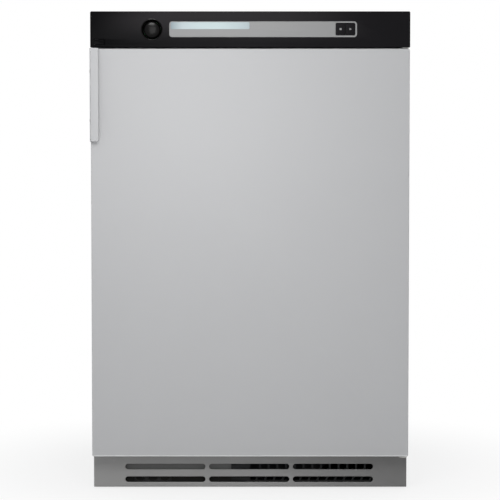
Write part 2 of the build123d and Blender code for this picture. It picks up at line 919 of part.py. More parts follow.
# Motor shaft, with the belt pulley turned on its rear end
with BuildPart() as motor_shaft:
    bar(motor_shaft_radius, (wheel_front, belt_plane), motor_x, motor_height)
    bar(pulley_radius, (belt_plane - belt_width, belt_plane + belt_width), motor_x, motor_height)
    for collar_y in (belt_plane - belt_width, belt_plane + belt_width - belt_thickness):
        bar(pulley_radius + pulley_flange, (collar_y, collar_y + belt_thickness), motor_x, motor_height)
motor_shaft.part.label = "motor_shaft"
export_step(motor_shaft.part, "parts/motor_shaft.step")

# Idler: an arm on the motor's post, its pulley, and a torsion spring kept as its sleeve and one leg
with BuildPart() as idler_arm:
    with BuildSketch(facing_front(arm_front)):
        arm_x = idler_centre[0] - idler_pivot[0]
        arm_z = idler_centre[1] - idler_pivot[1]
        arm_middle = ((idler_centre[0] + idler_pivot[0]) / 2, (idler_centre[1] + idler_pivot[1]) / 2)
        with Locations(Location((arm_middle[0], arm_middle[1], 0), (0, 0, degrees(atan2(arm_z, arm_x))))):
            SlotCenterToCenter(hypot(arm_x, arm_z), 4 * idler_axle_radius)
        with Locations(idler_pivot):
            Circle(idler_axle_radius + running_gap, mode=Mode.SUBTRACT)
    extrude(amount=-idler_arm_thickness)
    bar(idler_axle_radius, (arm_front, idler_front + idler_width + sheet), *idler_centre)
    bar(idler_boss_radius, (arm_front, idler_front - free_gap), *idler_centre)
idler_arm.part.label = "idler_arm"
export_step(idler_arm.part, "parts/idler_arm.step")

with BuildPart() as idler_pulley:
    bar(idler_radius, (idler_front, idler_front + idler_width), *idler_centre)
    bar(
        idler_axle_radius + running_gap,
        (idler_front - sheet, idler_front + idler_width + sheet),
        *idler_centre,
        Mode.SUBTRACT,
    )
idler_pulley.part.label = "idler_pulley"
export_step(idler_pulley.part, "parts/idler_pulley.step")

with BuildPart() as idler_spring:
    spring_start = arm_front + idler_arm_thickness
    spring_end = idler_front - free_gap
    bar(idler_axle_radius + 2 * spring_wire, (spring_start, spring_end), *idler_pivot)
    bar(idler_axle_radius + free_gap, (spring_start - sheet, spring_end + sheet), *idler_pivot, Mode.SUBTRACT)
    block(
        (idler_pivot[0] + idler_axle_radius + spring_wire, idler_pivot[0] + idler_axle_radius + spring_leg),
        (spring_end - spring_wire, spring_end),
        (idler_pivot[1] - spring_wire / 2, idler_pivot[1] + spring_wire / 2),
    )
idler_spring.part.label = "idler_spring"
export_step(idler_spring.part, "parts/idler_spring.step")

# Drive belt: round the drum and the motor pulley, pressed in by the idler on its outside
belt_circles = (
    ((0, drum_axis_height), drum_radius + free_gap, 1),
    ((motor_x, motor_height), pulley_radius + free_gap, 1),
    (idler_centre, idler_radius + free_gap + belt_thickness, -1),
)


def tangent(start, end):
    """Returns the two points of the line that leaves one belt circle and meets the next.

    A circle is its centre, its radius and its sense, which is 1 where the belt turns to the left.
    """
    (start_centre, start_radius, start_sense), (end_centre, end_radius, end_sense) = start, end
    along_x = end_centre[0] - start_centre[0]
    along_z = end_centre[1] - start_centre[1]
    across = end_radius * end_sense - start_radius * start_sense
    heading = atan2(along_z, along_x) - asin(across / hypot(along_x, along_z))
    normal = (-sin(heading), cos(heading))
    return tuple(
        tuple(centre[axis] - radius * sense * normal[axis] for axis in (0, 1))
        for centre, radius, sense in (start, end)
    )


def belt_outline(margin):
    """Draws one face of the belt in the open line, grown outwards by a margin."""
    circles = [(centre, radius + margin * sense, sense) for centre, radius, sense in belt_circles]
    spans = [tangent(circles[i], circles[(i + 1) % len(circles)]) for i in range(len(circles))]
    for i, (centre, radius, sense) in enumerate(circles):
        arrival = spans[i - 1][1]
        departure = spans[i][0]
        first = degrees(atan2(arrival[1] - centre[1], arrival[0] - centre[0]))
        last = degrees(atan2(departure[1] - centre[1], departure[0] - centre[0]))
        sweep_angle = (last - first) % 360 if sense > 0 else -((first - last) % 360)
        CenterArc(centre, radius, first, sweep_angle)
        Line(*spans[i])


with BuildPart() as drive_belt:
    with BuildSketch(facing_front(belt_plane - belt_width / 2)):
        with BuildLine():
            belt_outline(belt_thickness)
        make_face()
        with BuildLine():
            belt_outline(0)
        make_face(mode=Mode.SUBTRACT)
    extrude(amount=-belt_width)
drive_belt.part.label = "drive_belt"
export_step(drive_belt.part, "parts/drive_belt.step")

# Front duct: a flat moulded box from the filter's pocket down to the blower's inlet
duct_front = bulkhead_back + seam
duct_half_width = filter_half_width + 2 * moulding_wall + duct_wall
duct_floor = drum_axis_height - mouth_radius - filter_depth - filter_rim


def duct_outline(margin):
    """Draws the duct seen from the front in the open sketch, drawn in by a margin."""
    duct_top = drum_axis_height - front_duct_top_drop
    shoulder = drum_axis_height - front_duct_shoulder_drop
    Polygon(
        (-duct_half_width + margin, duct_top),
        (duct_half_width - margin, duct_top),
        (duct_half_width - margin, shoulder - margin / 2),
        (motor_x + duct_reach - margin, motor_height + duct_reach - margin / 2),
        (motor_x + duct_reach - margin, motor_height - duct_reach + margin),
        (motor_x - duct_reach + margin, motor_height - duct_reach + margin),
        (motor_x - duct_reach + margin, duct_floor + margin),
        (-duct_half_width + margin, duct_floor + margin),
        align=None,
    )


with BuildPart() as front_duct:
    with BuildSketch(facing_front(duct_front)):
        duct_outline(0)
    extrude(amount=-(blower_front - duct_front))
    with BuildSketch(facing_front(duct_front + duct_wall)):
        duct_outline(duct_wall)
    extrude(amount=-(blower_front - duct_front - 2 * duct_wall), mode=Mode.SUBTRACT)
    bar(
        mouth_radius + mouth_wall + slide_gap,
        (duct_front - sheet, blower_front + sheet),
        0,
        drum_axis_height,
        Mode.SUBTRACT,
    )
    bar(
        inlet_radius,
        (blower_front - 2 * duct_wall, blower_front + sheet),
        motor_x,
        motor_height,
        Mode.SUBTRACT,
    )
front_duct.part.label = "front_duct"
export_step(front_duct.part, "parts/front_duct.step")

# Exhaust duct: a round pipe from the blower's outlet, through one mitred bend, to the spigot at the back
exhaust_mitre = exhaust_bend * (1 - tan(radians(exhaust_mitre_turn / 2)))
with BuildPart() as exhaust_duct:
    with BuildLine() as exhaust_path:
        Polyline(
            (outlet_x, outlet_y, exhaust_height),
            (exhaust_x + exhaust_mitre, outlet_y, exhaust_height),
            (exhaust_x, outlet_y + exhaust_mitre, exhaust_height),
            (exhaust_x, back_face + spigot_reach, exhaust_height),
        )
    with BuildSketch(Plane(origin=exhaust_path.line @ 0, z_dir=exhaust_path.line % 0)):
        Circle(pipe_radius)
        Circle(pipe_radius - exhaust_wall, mode=Mode.SUBTRACT)
    sweep(path=exhaust_path.line, transition=Transition.RIGHT)
    spigot_start = back_face + seam
    with BuildSketch(facing_front(spigot_start)):
        with Locations((exhaust_x, exhaust_height)):
            Circle(exhaust_radius)
            Circle(pipe_radius - exhaust_wall, mode=Mode.SUBTRACT)
    extrude(amount=-(spigot_reach - seam))
exhaust_duct.part.label = "exhaust_duct"
export_step(exhaust_duct.part, "parts/exhaust_duct.step")

# Heater duct: a pressed cover behind the rear bulkhead, round at the drum and with a leg down to its inlet
duct_start = rear_sheet_face + sheet
with BuildPart() as heater_duct:
    with BuildSketch(facing_front(duct_start)):
        with Locations((0, drum_axis_height)):
            Circle(heater_duct_radius)
        with Locations((0, (drum_axis_height + heater_leg_bottom) / 2)):
            Rectangle(heater_leg_width, drum_axis_height - heater_leg_bottom)
    extrude(amount=-heater_duct_depth)
    offset(amount=-sheet, openings=heater_duct.faces().sort_by(Axis.Y)[0])
    block(
        (-heater_leg_width / 2 + seal_thickness, heater_leg_width / 2 - seal_thickness),
        (duct_start + seal_thickness, duct_start + heater_duct_depth - seal_thickness),
        (heater_leg_bottom - sheet, heater_leg_bottom + 2 * sheet),
        Mode.SUBTRACT,
    )
heater_duct.part.label = "heater_duct"
export_step(heater_duct.part, "parts/heater_duct.step")

# Heater element: one metal-sheathed rod of six sides, bent into upright runs
with BuildPart() as heater_element:
    rod_bottom = heater_leg_bottom + heater_rod_spacing
    rod_top = rod_bottom + heater_rod_length
    rod_y = duct_start + heater_duct_depth / 2
    rod_points = []
    for run in range(heater_run_count):
        rod_x = (run - (heater_run_count - 1) / 2) * heater_rod_spacing
        ends = (rod_bottom, rod_top) if run % 2 == 0 else (rod_top, rod_bottom)
        rod_points += [(rod_x, rod_y, end) for end in ends]
    with BuildLine() as rod_path:
        FilletPolyline(*rod_points, radius=heater_rod_spacing / 2 - free_gap)
    with BuildSketch(Plane(origin=rod_path.line @ 0, z_dir=rod_path.line % 0)):
        RegularPolygon(heater_rod_radius, hexagon_sides)
    sweep(path=rod_path.line)
heater_element.part.label = "heater_element"
export_step(heater_element.part, "parts/heater_element.step")

# Lint filter: a basket that slides up out of the mouth's lower rim, with slots in its cap
with BuildPart() as lint_filter:
    filter_bottom = drum_axis_height - mouth_radius - filter_depth
    filter_middle = (filter_bottom + filter_shoulder) / 2
    filter_height = filter_shoulder - filter_bottom
    with BuildSketch(facing_front(filter_front)):
        with Locations((0, filter_middle)):
            RectangleRounded(filter_width, filter_height, filter_rim / 2)
        with Locations((0, drum_axis_height)):
            Circle(mouth_radius, mode=Mode.SUBTRACT)
    extrude(amount=-filter_thickness)
    with BuildSketch(facing_front(filter_front + filter_mesh)):
        with Locations((0, filter_middle)):
            Rectangle(filter_width - 2 * filter_rim, filter_height - 2 * filter_rim)
        with Locations((0, drum_axis_height)):
            Circle(mouth_radius + filter_rim, mode=Mode.SUBTRACT)
    extrude(amount=-(filter_thickness - 2 * filter_mesh), mode=Mode.SUBTRACT)
    slot_pitch_x = (filter_width - 4 * filter_rim) / filter_slot_count
    with Locations((0, (filter_front + filter_back) / 2, drum_axis_height - mouth_radius)):
        with GridLocations(slot_pitch_x, 0, filter_slot_count, 1):
            Box(filter_slot_width, filter_thickness - filter_rim, 8 * filter_rim, mode=Mode.SUBTRACT)
lint_filter.part.label = "lint_filter"
export_step(lint_filter.part, "parts/lint_filter.step")

# Door outer panel: a pressed shell, open at the back
liner_face = door_back - liner_wall
with BuildPart() as door_outer_panel:
    block((-door_half_width, door_half_width), (door_face, liner_face), (door_bottom, door_top))
    fillet(door_outer_panel.edges().filter_by(Axis.Y), door_corner_radius)
    fillet(door_outer_panel.faces().sort_by(Axis.Y)[0].edges(), door_edge_radius)
    offset(amount=-door_sheet, openings=door_outer_panel.faces().sort_by(Axis.Y)[-1])
    for pin_z in (door_bottom, door_top):
        post(
            hinge_pin_radius + seam,
            (pin_z - 2 * door_sheet, pin_z + 2 * door_sheet),
            hinge_x,
            hinge_y,
            Mode.SUBTRACT,
        )
door_outer_panel.part.label = "door_outer_panel"
export_step(door_outer_panel.part, "parts/door_outer_panel.step")

# Door liner: a moulded inner face with a skirt and a dish that reaches into the mouth
liner_half_width = door_half_width - door_sheet - slide_gap
liner_middle = (door_bottom + door_top) / 2
with BuildPart() as door_inner_liner:
    block((-door_half_width, door_half_width), (liner_face, door_back), (door_bottom, door_top))
    fillet(door_inner_liner.edges().filter_by(Axis.Y), door_corner_radius)
    skirt_height = door_height - 2 * door_sheet - 2 * slide_gap
    with BuildSketch(facing_front(liner_face)):
        with Locations((0, liner_middle)):
            RectangleRounded(2 * liner_half_width, skirt_height, door_corner_radius)
            Rectangle(
                2 * liner_half_width - 2 * liner_wall,
                skirt_height - 2 * liner_wall,
                mode=Mode.SUBTRACT,
            )
    extrude(amount=liner_skirt)
    bar(
        dish_base_radius - liner_wall,
        (liner_face - sheet, door_back + sheet),
        0,
        drum_axis_height,
        Mode.SUBTRACT,
    )
    with BuildSketch(turned_about(0, drum_axis_height)):
        with BuildLine():
            Polyline(
                (0, door_back + dish_height),
                (dish_radius, door_back + dish_height),
                (dish_base_radius, door_back),
                (dish_base_radius, liner_face),
                (dish_base_radius - liner_wall, liner_face),
                (dish_radius - liner_wall, door_back + dish_height - liner_wall),
                (0, door_back + dish_height - liner_wall),
                close=True,
            )
        make_face()
    revolve(axis=drum_axis)
    for end in (-1, 1):
        corner_z = liner_middle + end * (skirt_height / 2 - bush_block / 2)
        block(
            (door_half_width - bush_block - liner_wall, door_half_width),
            (liner_face - liner_skirt - sheet, liner_face),
            (corner_z - bush_block / 2 - liner_wall, corner_z + bush_block / 2 + liner_wall),
            Mode.SUBTRACT,
        )
door_inner_liner.part.label = "door_inner_liner"
export_step(door_inner_liner.part, "parts/door_inner_liner.step")

# Door seal: a ring on the liner that meets the bulkhead round the mouth
with BuildPart() as door_seal:
    with BuildSketch(turned_about(0, drum_axis_height)):
        seal_depth = door_rear_gap - free_gap
        with Locations((door_seal_radius + door_seal_width / 2, door_back + seal_depth / 2)):
            Rectangle(door_seal_width, seal_depth)
    revolve(axis=drum_axis)
door_seal.part.label = "door_seal"
export_step(door_seal.part, "parts/door_seal.step")

# Hinge bushes: a block in each hinge corner of the door, bored for its pin
with BuildPart() as hinge_bushes:
    for bush_bottom in (door_bottom + door_corner_radius, door_top - door_corner_radius - bush_block):
        block(
            (door_half_width - door_sheet - bush_block, door_half_width - door_sheet),
            (door_face + door_edge_radius, door_face + door_edge_radius + bush_block),
            (bush_bottom, bush_bottom + bush_block),
        )
    post(hinge_pin_radius + running_gap, (door_bottom, door_top), hinge_x, hinge_y, Mode.SUBTRACT)
hinge_bushes.part.label = "hinge_bushes"
export_step(hinge_bushes.part, "parts/hinge_bushes.step")

# Hinge brackets: a folded plate above and below the door, each with its riveted pin
with BuildPart() as hinge_brackets:
    bottom_plate = door_bottom - (door_gap - hinge_plate) / 2 - hinge_plate
    top_plate = door_top + (door_gap - hinge_plate) / 2
    for plate_z, leg_end, pin_end in (
        (bottom_plate, bottom_plate - hinge_leg_length, bottom_plate + hinge_plate + hinge_pin_length),
        (top_plate, top_plate + hinge_plate + hinge_leg_length, top_plate - hinge_pin_length),
    ):
        with BuildSketch(Plane.XY.offset(plate_z)):
            with Locations((hinge_x, (hinge_y + bulkhead_face) / 2)):
                Rectangle(2 * hinge_plate_radius, bulkhead_face - hinge_y)
            with Locations((hinge_x, hinge_y)):
                Circle(hinge_plate_radius)
        extrude(amount=hinge_plate)
        block(
            (hinge_x + hinge_plate_radius - hinge_leg_width, hinge_x + hinge_plate_radius),
            (bulkhead_face - hinge_plate, bulkhead_face),
            tuple(sorted((plate_z + hinge_plate / 2, leg_end))),
        )
        post(hinge_pin_radius, tuple(sorted((plate_z + hinge_plate / 2, pin_end))), hinge_x, hinge_y)
hinge_brackets.part.label = "hinge_brackets"
export_step(hinge_brackets.part, "parts/hinge_brackets.step")

# Magnetic catch: a magnet on the bulkhead and its plate on the door
catch_x = (-door_half_width + catch_inset - catch_width / 2, -door_half_width + catch_inset + catch_width / 2)
catch_z = (door_top - catch_drop - catch_height / 2, door_top - catch_drop + catch_height / 2)
with BuildPart() as catch_magnet:
    block(catch_x, (bulkhead_face - catch_thickness, bulkhead_face), catch_z)
    fillet(catch_magnet.edges().filter_by(Axis.Y), catch_thickness)
catch_magnet.part.label = "catch_magnet"
export_step(catch_magnet.part, "parts/catch_magnet.step")

with BuildPart() as catch_plate:
    block(catch_x, (door_back, bulkhead_face - catch_thickness - slide_gap), catch_z)
    fillet(catch_plate.edges().filter_by(Axis.Y), catch_thickness)
catch_plate.part.label = "catch_plate"
export_step(catch_plate.part, "parts/catch_plate.step")

# Handle: an angle on the door's left edge, with a finger gap open to the right and round lower corners
handle_left = -door_half_width - handle_side_sheet
handle_bottom = door_top - handle_length
handle_front = door_face - handle_stand_off
with BuildPart() as door_handle:
    block(
        (handle_left, handle_left + handle_width),
        (handle_front, handle_front + handle_flange),
        (handle_bottom, door_top),
    )
    flange_corners = door_handle.edges().filter_by(Axis.Y).sort_by(Axis.Z)[:2]
    fillet(flange_corners, handle_corner_radius)
    chamfer(door_handle.faces().sort_by(Axis.Y)[0].edges(), handle_flange / 4)
    block(
        (handle_left, -door_half_width),
        (handle_front + handle_flange / 2, door_face + handle_side_depth),
        (handle_bottom + handle_corner_radius, door_top),
    )
door_handle.part.label = "door_handle"
export_step(door_handle.part, "parts/door_handle.step")

# Door screws: two in the side of the handle and a row round the liner
handle_screw_y = door_face + handle_side_depth / 2
with BuildPart() as door_screws:
    for screw_z in (door_top - handle_screw_top, door_top - handle_screw_top - handle_screw_pitch):
        with Locations(Location((handle_left - handle_screw_head / 2, handle_screw_y, screw_z), (0, -90, 0))):
            Cylinder(handle_screw_radius, handle_screw_head)
    liner_screw_span = 2 * (door_half_width - liner_screw_inset)
    with BuildSketch(facing_front(door_back)):
        with Locations((0, liner_middle)):
            with GridLocations(liner_screw_span, liner_screw_pitch, 2, liner_screw_count):
                RegularPolygon(liner_screw_radius, hexagon_sides)
    extrude(amount=-liner_screw_head)
door_screws.part.label = "door_screws"
export_step(door_screws.part, "parts/door_screws.step")

# Control panel: a moulded shell, open at the back, with openings for what it carries
strip_front = door_face - strip_proud
strip_back = strip_front + strip_thickness
strip_centre = strip_left + strip_width / 2
window_centre = window_left + window_width / 2
pad_width = 2 * button_width + button_split
pad_centre = button_left + pad_width / 2
switch_centre = switch_left + switch_width / 2
with BuildPart() as control_panel:
    block((-half_width, half_width), (door_face, panel_back), (panel_bottom, cabinet_height))
    fillet(control_panel.edges().filter_by(Axis.Y), panel_edge_radius)
    chamfer(control_panel.faces().sort_by(Axis.Y)[0].edges(), panel_edge_radius / 4)
    block(
        (-half_width + moulding_wall, half_width - moulding_wall),
        (door_face + moulding_wall, panel_back + moulding_wall),
        (panel_bottom + moulding_wall, cabinet_height - moulding_wall),
        Mode.SUBTRACT,
    )
    with BuildSketch(facing_front(door_face)):
        with Locations((strip_centre, strip_middle)):
            RectangleRounded(strip_width, strip_height, strip_radius)
    extrude(amount=door_face - strip_back, mode=Mode.SUBTRACT)
    with BuildSketch(facing_front(door_face)):
        with Locations((window_centre, window_middle)):
            RectangleRounded(
                window_width + 2 * window_flange,
                window_height + 2 * window_flange,
                window_radius,
            )
        with Locations((pad_centre, button_middle)):
            RectangleRounded(pad_width + 2 * window_flange, button_height + window_flange, button_radius)
        with Locations((switch_centre, switch_middle)):
            RectangleRounded(switch_width + 2 * slide_gap, switch_height + 2 * slide_gap, window_radius)
        with Locations((knob_x, knob_height)):
            Circle(bezel_bore + moulding_wall / 2)
    extrude(amount=-2 * moulding_wall, mode=Mode.SUBTRACT)
control_panel.part.label = "control_panel"
export_step(control_panel.part, "parts/control_panel.step")

# Display strip, with a window for the display and an opening for the two buttons
with BuildPart() as display_strip:
    with BuildSketch(facing_front(strip_front)):
        with Locations((strip_centre, strip_middle)):
            RectangleRounded(strip_width, strip_height, strip_radius)
        with Locations((window_centre, window_middle)):
            RectangleRounded(window_width, window_height, window_radius, mode=Mode.SUBTRACT)
        with Locations((pad_centre, button_middle)):
            RectangleRounded(
                pad_width + 2 * slide_gap,
                button_height + 2 * slide_gap,
                button_radius + slide_gap,
                mode=Mode.SUBTRACT,
            )
    extrude(amount=-strip_thickness)
display_strip.part.label = "display_strip"
export_step(display_strip.part, "parts/display_strip.step")

with BuildPart() as display_window:
    with BuildSketch(facing_front(strip_front + free_gap)):
        with Locations((window_centre, window_middle)):
            RectangleRounded(window_width, window_height, window_radius)
    extrude(amount=-(strip_thickness - free_gap))
    with BuildSketch(facing_front(strip_back)):
        with Locations((window_centre, window_middle)):
            RectangleRounded(window_width + window_flange, window_height + window_flange, window_radius)
    extrude(amount=-button_flange)
display_window.part.label = "display_window"
export_step(display_window.part, "parts/display_window.step")

# Start and stop buttons: two keys side by side, each with a flange behind the strip
button_front = strip_front - button_proud + strip_proud
for button_name, place in (("stop_button", 0), ("start_button", 1)):
    button_x = button_left + place * (button_width + button_split) + button_width / 2
    with BuildPart() as button:
        with BuildSketch(facing_front(button_front)):
            with Locations((button_x, button_middle)):
                RectangleRounded(button_width, button_height, button_radius)
        extrude(amount=-button_depth)
        with BuildSketch(facing_front(strip_back + free_gap)):
            with Locations((button_x, button_middle)):
                Rectangle(button_width, button_height + 2 * button_flange_drop)
        extrude(amount=-button_flange)
    button.part.label = button_name
    export_step(button.part, f"parts/{button_name}.step")

# Main switch: a push key at the panel's lower left and the switch body behind it
switch_front = door_face - strip_proud
with BuildPart() as main_switch_button:
    with BuildSketch(facing_front(switch_front)):
        with Locations((switch_centre, switch_middle)):
            RectangleRounded(switch_width, switch_height, window_radius)
    extrude(amount=-switch_depth)
main_switch_button.part.label = "main_switch_button"
export_step(main_switch_button.part, "parts/main_switch_button.step")

switch_body_front = switch_front + switch_depth + switch_travel + slide_gap
with BuildPart() as main_switch_body:
    block(
        (switch_centre - switch_body_width / 2, switch_centre + switch_body_width / 2),
        (switch_body_front, panel_back),
        (panel_bottom + moulding_wall, switch_middle + switch_height),
    )
main_switch_body.part.label = "main_switch_body"
export_step(main_switch_body.part, "parts/main_switch_body.step")

# Selector: a bezel in the panel, a shaft in the encoder and a domed cap that slides out on the shaft
bezel_back = door_face + knob_length
with BuildPart() as knob_ring:
    with BuildSketch(turned_about(knob_x, knob_height)):
        with BuildLine():
            Polyline(
                (bezel_bore, door_face),
                (bezel_radius - 2 * bezel_lip, door_face - bezel_lip),
                (bezel_radius - bezel_lip, door_face - bezel_lip),
                (bezel_radius, door_face),
                (bezel_bore + moulding_wall / 2, door_face),
                (bezel_bore + moulding_wall / 2, bezel_back),
                (bezel_bore, bezel_back),
                close=True,
            )
        make_face()
    revolve(axis=knob_axis)
knob_ring.part.label = "knob_ring"
export_step(knob_ring.part, "parts/knob_ring.step")

knob_front = door_face + strip_proud
knob_hub_radius = 2 * knob_shaft_radius
with BuildPart() as knob_cap:
    with BuildSketch(turned_about(knob_x, knob_height)):
        with BuildLine():
            Polyline(
                (0, knob_front),
                (knob_dome_radius, knob_front + knob_dome / 4),
                (knob_radius, knob_front + knob_dome),
                (knob_radius, knob_front + knob_length),
                (knob_radius - knob_wall, knob_front + knob_length),
                (knob_radius - knob_wall, knob_front + knob_dome + knob_wall),
                (knob_hub_radius, knob_front + knob_dome + knob_wall),
                (knob_hub_radius, knob_front + knob_length),
                (knob_shaft_radius + running_gap, knob_front + knob_length),
                (knob_shaft_radius + running_gap, knob_front + knob_dome),
                (0, knob_front + knob_dome),
                (0, knob_front),
            )
        make_face()
    revolve(axis=knob_axis)
knob_cap.part.label = "knob_cap"
export_step(knob_cap.part, "parts/knob_cap.step")

board_front = door_face + board_setback
with BuildPart() as knob_shaft:
    bar(
        knob_shaft_radius,
        (knob_front + knob_dome + free_gap, board_front - free_gap),
        knob_x,
        knob_height,
    )
knob_shaft.part.label = "knob_shaft"
export_step(knob_shaft.part, "parts/knob_shaft.step")

# Control board: the circuit board with its encoder, display module, key switches and relays
with BuildPart() as control_board:
    board_left = knob_x - encoder_width
    board_right = strip_right
    board_low = strip_middle - board_height / 2
    block(
        (board_left, board_right),
        (board_front, board_front + board_thickness),
        (board_low, board_low + board_height),
    )
    block(
        (knob_x - encoder_width / 2, knob_x + encoder_width / 2),
        (board_front - encoder_depth, board_front),
        (knob_height - encoder_width / 2, knob_height + encoder_width / 2),
    )
    bar(
        knob_shaft_radius + running_gap,
        (board_front - 2 * encoder_depth, board_front),
        knob_x,
        knob_height,
        Mode.SUBTRACT,
    )
    block(
        (window_left, window_left + window_width),
        (strip_back + button_flange + seam, board_front),
        (window_middle - window_height / 2, window_middle + window_height / 2),
    )
    key_front = button_front + button_depth + button_travel + slide_gap
    for place in (0, 1):
        key_x = button_left + place * (button_width + button_split) + button_width / 2
        block(
            (key_x - key_switch_width / 2, key_x + key_switch_width / 2),
            (key_front, board_front),
            (button_middle - key_switch_width / 2, button_middle + key_switch_width / 2),
        )
    for relay_x in (board_left + relay_margin, (board_left + board_right) / 2, board_right - relay_margin):
        block(
            (relay_x - relay_width / 2, relay_x + relay_width / 2),
            (board_front + board_thickness, board_front + board_thickness + encoder_depth),
            (board_low + relay_width / 2, board_low + 3 * relay_width / 2),
        )
control_board.part.label = "control_board"
export_step(control_board.part, "parts/control_board.step")

# Plinth panel: a moulding with two rows of three air slots that pulls off to the front
with BuildPart() as plinth_panel:
    block(
        (-half_width, half_width),
        (plinth_face, plinth_face + plinth_return),
        (plinth_floor_gap, plinth_top),
    )
    fillet(plinth_panel.edges().filter_by(Axis.Y), plinth_wall / 2)
    block(
        (-half_width + plinth_wall, half_width - plinth_wall),
        (plinth_face + plinth_wall, plinth_face + 2 * plinth_return),
        (plinth_floor_gap + plinth_wall, plinth_top - plinth_wall),
        Mode.SUBTRACT,
    )
    with BuildSketch(facing_front(plinth_face)):
        for slot_z in slot_rows:
            with Locations((slot_offset, slot_z)):
                with GridLocations(slot_pitch, 0, slot_count, 1):
                    SlotOverall(slot_length, slot_height)
    extrude(amount=-2 * plinth_wall, mode=Mode.SUBTRACT)
plinth_panel.part.label = "plinth_panel"
export_step(plinth_panel.part, "parts/plinth_panel.step")

# Intake grille: a framed row of ribs behind the plinth, upright above and leaning below
grille_back = base_front
grille_face = grille_back - grille_depth
grille_bottom = base_bottom + sheet
grille_top = base_bottom + base_wall_height
with BuildPart() as intake_grille:
    block((grille_left, grille_right), (grille_face, grille_back), (grille_bottom, grille_top))
    block(
        (grille_left + grille_pad, grille_right - grille_frame),
        (grille_face - sheet, grille_back + sheet),
        (grille_bottom + grille_frame, grille_top - grille_frame),
        Mode.SUBTRACT,
    )
    opening_width = grille_right - grille_frame - grille_left - grille_pad
    rib_count = int(opening_width / grille_pitch)
    bend_z = (grille_bottom + grille_top) / 2
    with BuildSketch(facing_front(grille_face)):
        for rib in range(1, rib_count + 1):
            rib_x = grille_left + grille_pad + rib * opening_width / (rib_count + 1)
            Polygon(
                (rib_x, grille_top - grille_frame / 2),
                (rib_x + grille_rib, grille_top - grille_frame / 2),
                (rib_x + grille_rib, bend_z),
                (rib_x + grille_rib - grille_lean, grille_bottom + grille_frame / 2),
                (rib_x - grille_lean, grille_bottom + grille_frame / 2),
                (rib_x, bend_z),
                align=None,
            )
    extrude(amount=-grille_depth)
intake_grille.part.label = "intake_grille"
export_step(intake_grille.part, "parts/intake_grille.step")

# Blanking plate: a cover behind the upper left slots, with a pierced tab behind the lower ones
with BuildPart() as blanking_plate:
    blank_y = (base_front - blank_thickness, base_front)
    block((blank_left, grille_left), blank_y, (blank_drop, base_bottom + base_wall_height))
    block(
        (blank_tab_left, blank_tab_left + blank_tab_width),
        blank_y,
        (base_bottom + sheet, blank_drop + blank_thickness),
    )
    with BuildSketch(facing_front(blank_y[0])):
        with Locations((blank_tab_left + blank_tab_width / 2, slot_rows[0])):
            with GridLocations(blank_tab_width / oval_count, 0, oval_count, 1):
                Ellipse(oval_width / 2, oval_height / 2)
    extrude(amount=-blank_thickness, mode=Mode.SUBTRACT)
blanking_plate.part.label = "blanking_plate"
export_step(blanking_plate.part, "parts/blanking_plate.step")

# Mains inlet: a flanged socket with three contact blades
with BuildPart() as mains_inlet:
    socket_width = inlet_width - 2 * inlet_proud - 2 * inlet_wall
    socket_height = inlet_body_height - 2 * inlet_wall
    with BuildSketch(facing_front(back_face)):
        with Locations((inlet_x, inlet_height)):
            RectangleRounded(inlet_width, inlet_body_height + 2 * inlet_proud, inlet_proud)
    extrude(amount=-inlet_proud)
    block(
        (inlet_x - inlet_width / 2 + inlet_proud + seam, inlet_x + inlet_width / 2 - inlet_proud - seam),
        (back_face - inlet_depth, back_face),
        (inlet_height - inlet_body_height / 2 + seam, inlet_height + inlet_body_height / 2 - seam),
    )
    block(
        (inlet_x - socket_width / 2, inlet_x + socket_width / 2),
        (back_face - inlet_depth + inlet_wall, back_face + 2 * inlet_proud),
        (inlet_height - socket_height / 2, inlet_height + socket_height / 2),
        Mode.SUBTRACT,
    )
    for blade in (-1, 0, 1):
        blade_x = inlet_x + blade * blade_pitch
        block(
            (blade_x - blade_thickness / 2, blade_x + blade_thickness / 2),
            (back_face - inlet_depth + inlet_wall / 2, back_face - inlet_wall),
            (inlet_height - blade_width / 2, inlet_height + blade_width / 2),
        )
mains_inlet.part.label = "mains_inlet"
export_step(mains_inlet.part, "parts/mains_inlet.step")
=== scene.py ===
"""Dresses the tumble dryer: door, panel, plinth, casing and mechanism, and the studio round it.

Metres. X points right, the front faces -Y and Z points up, as in the frame.
"""

from __future__ import annotations

import json
import logging
import math
from collections.abc import Callable, Iterable, Mapping, Sequence
from dataclasses import dataclass
from enum import Enum
from typing import Any

import bmesh
import bpy
from mathutils import Matrix, Vector

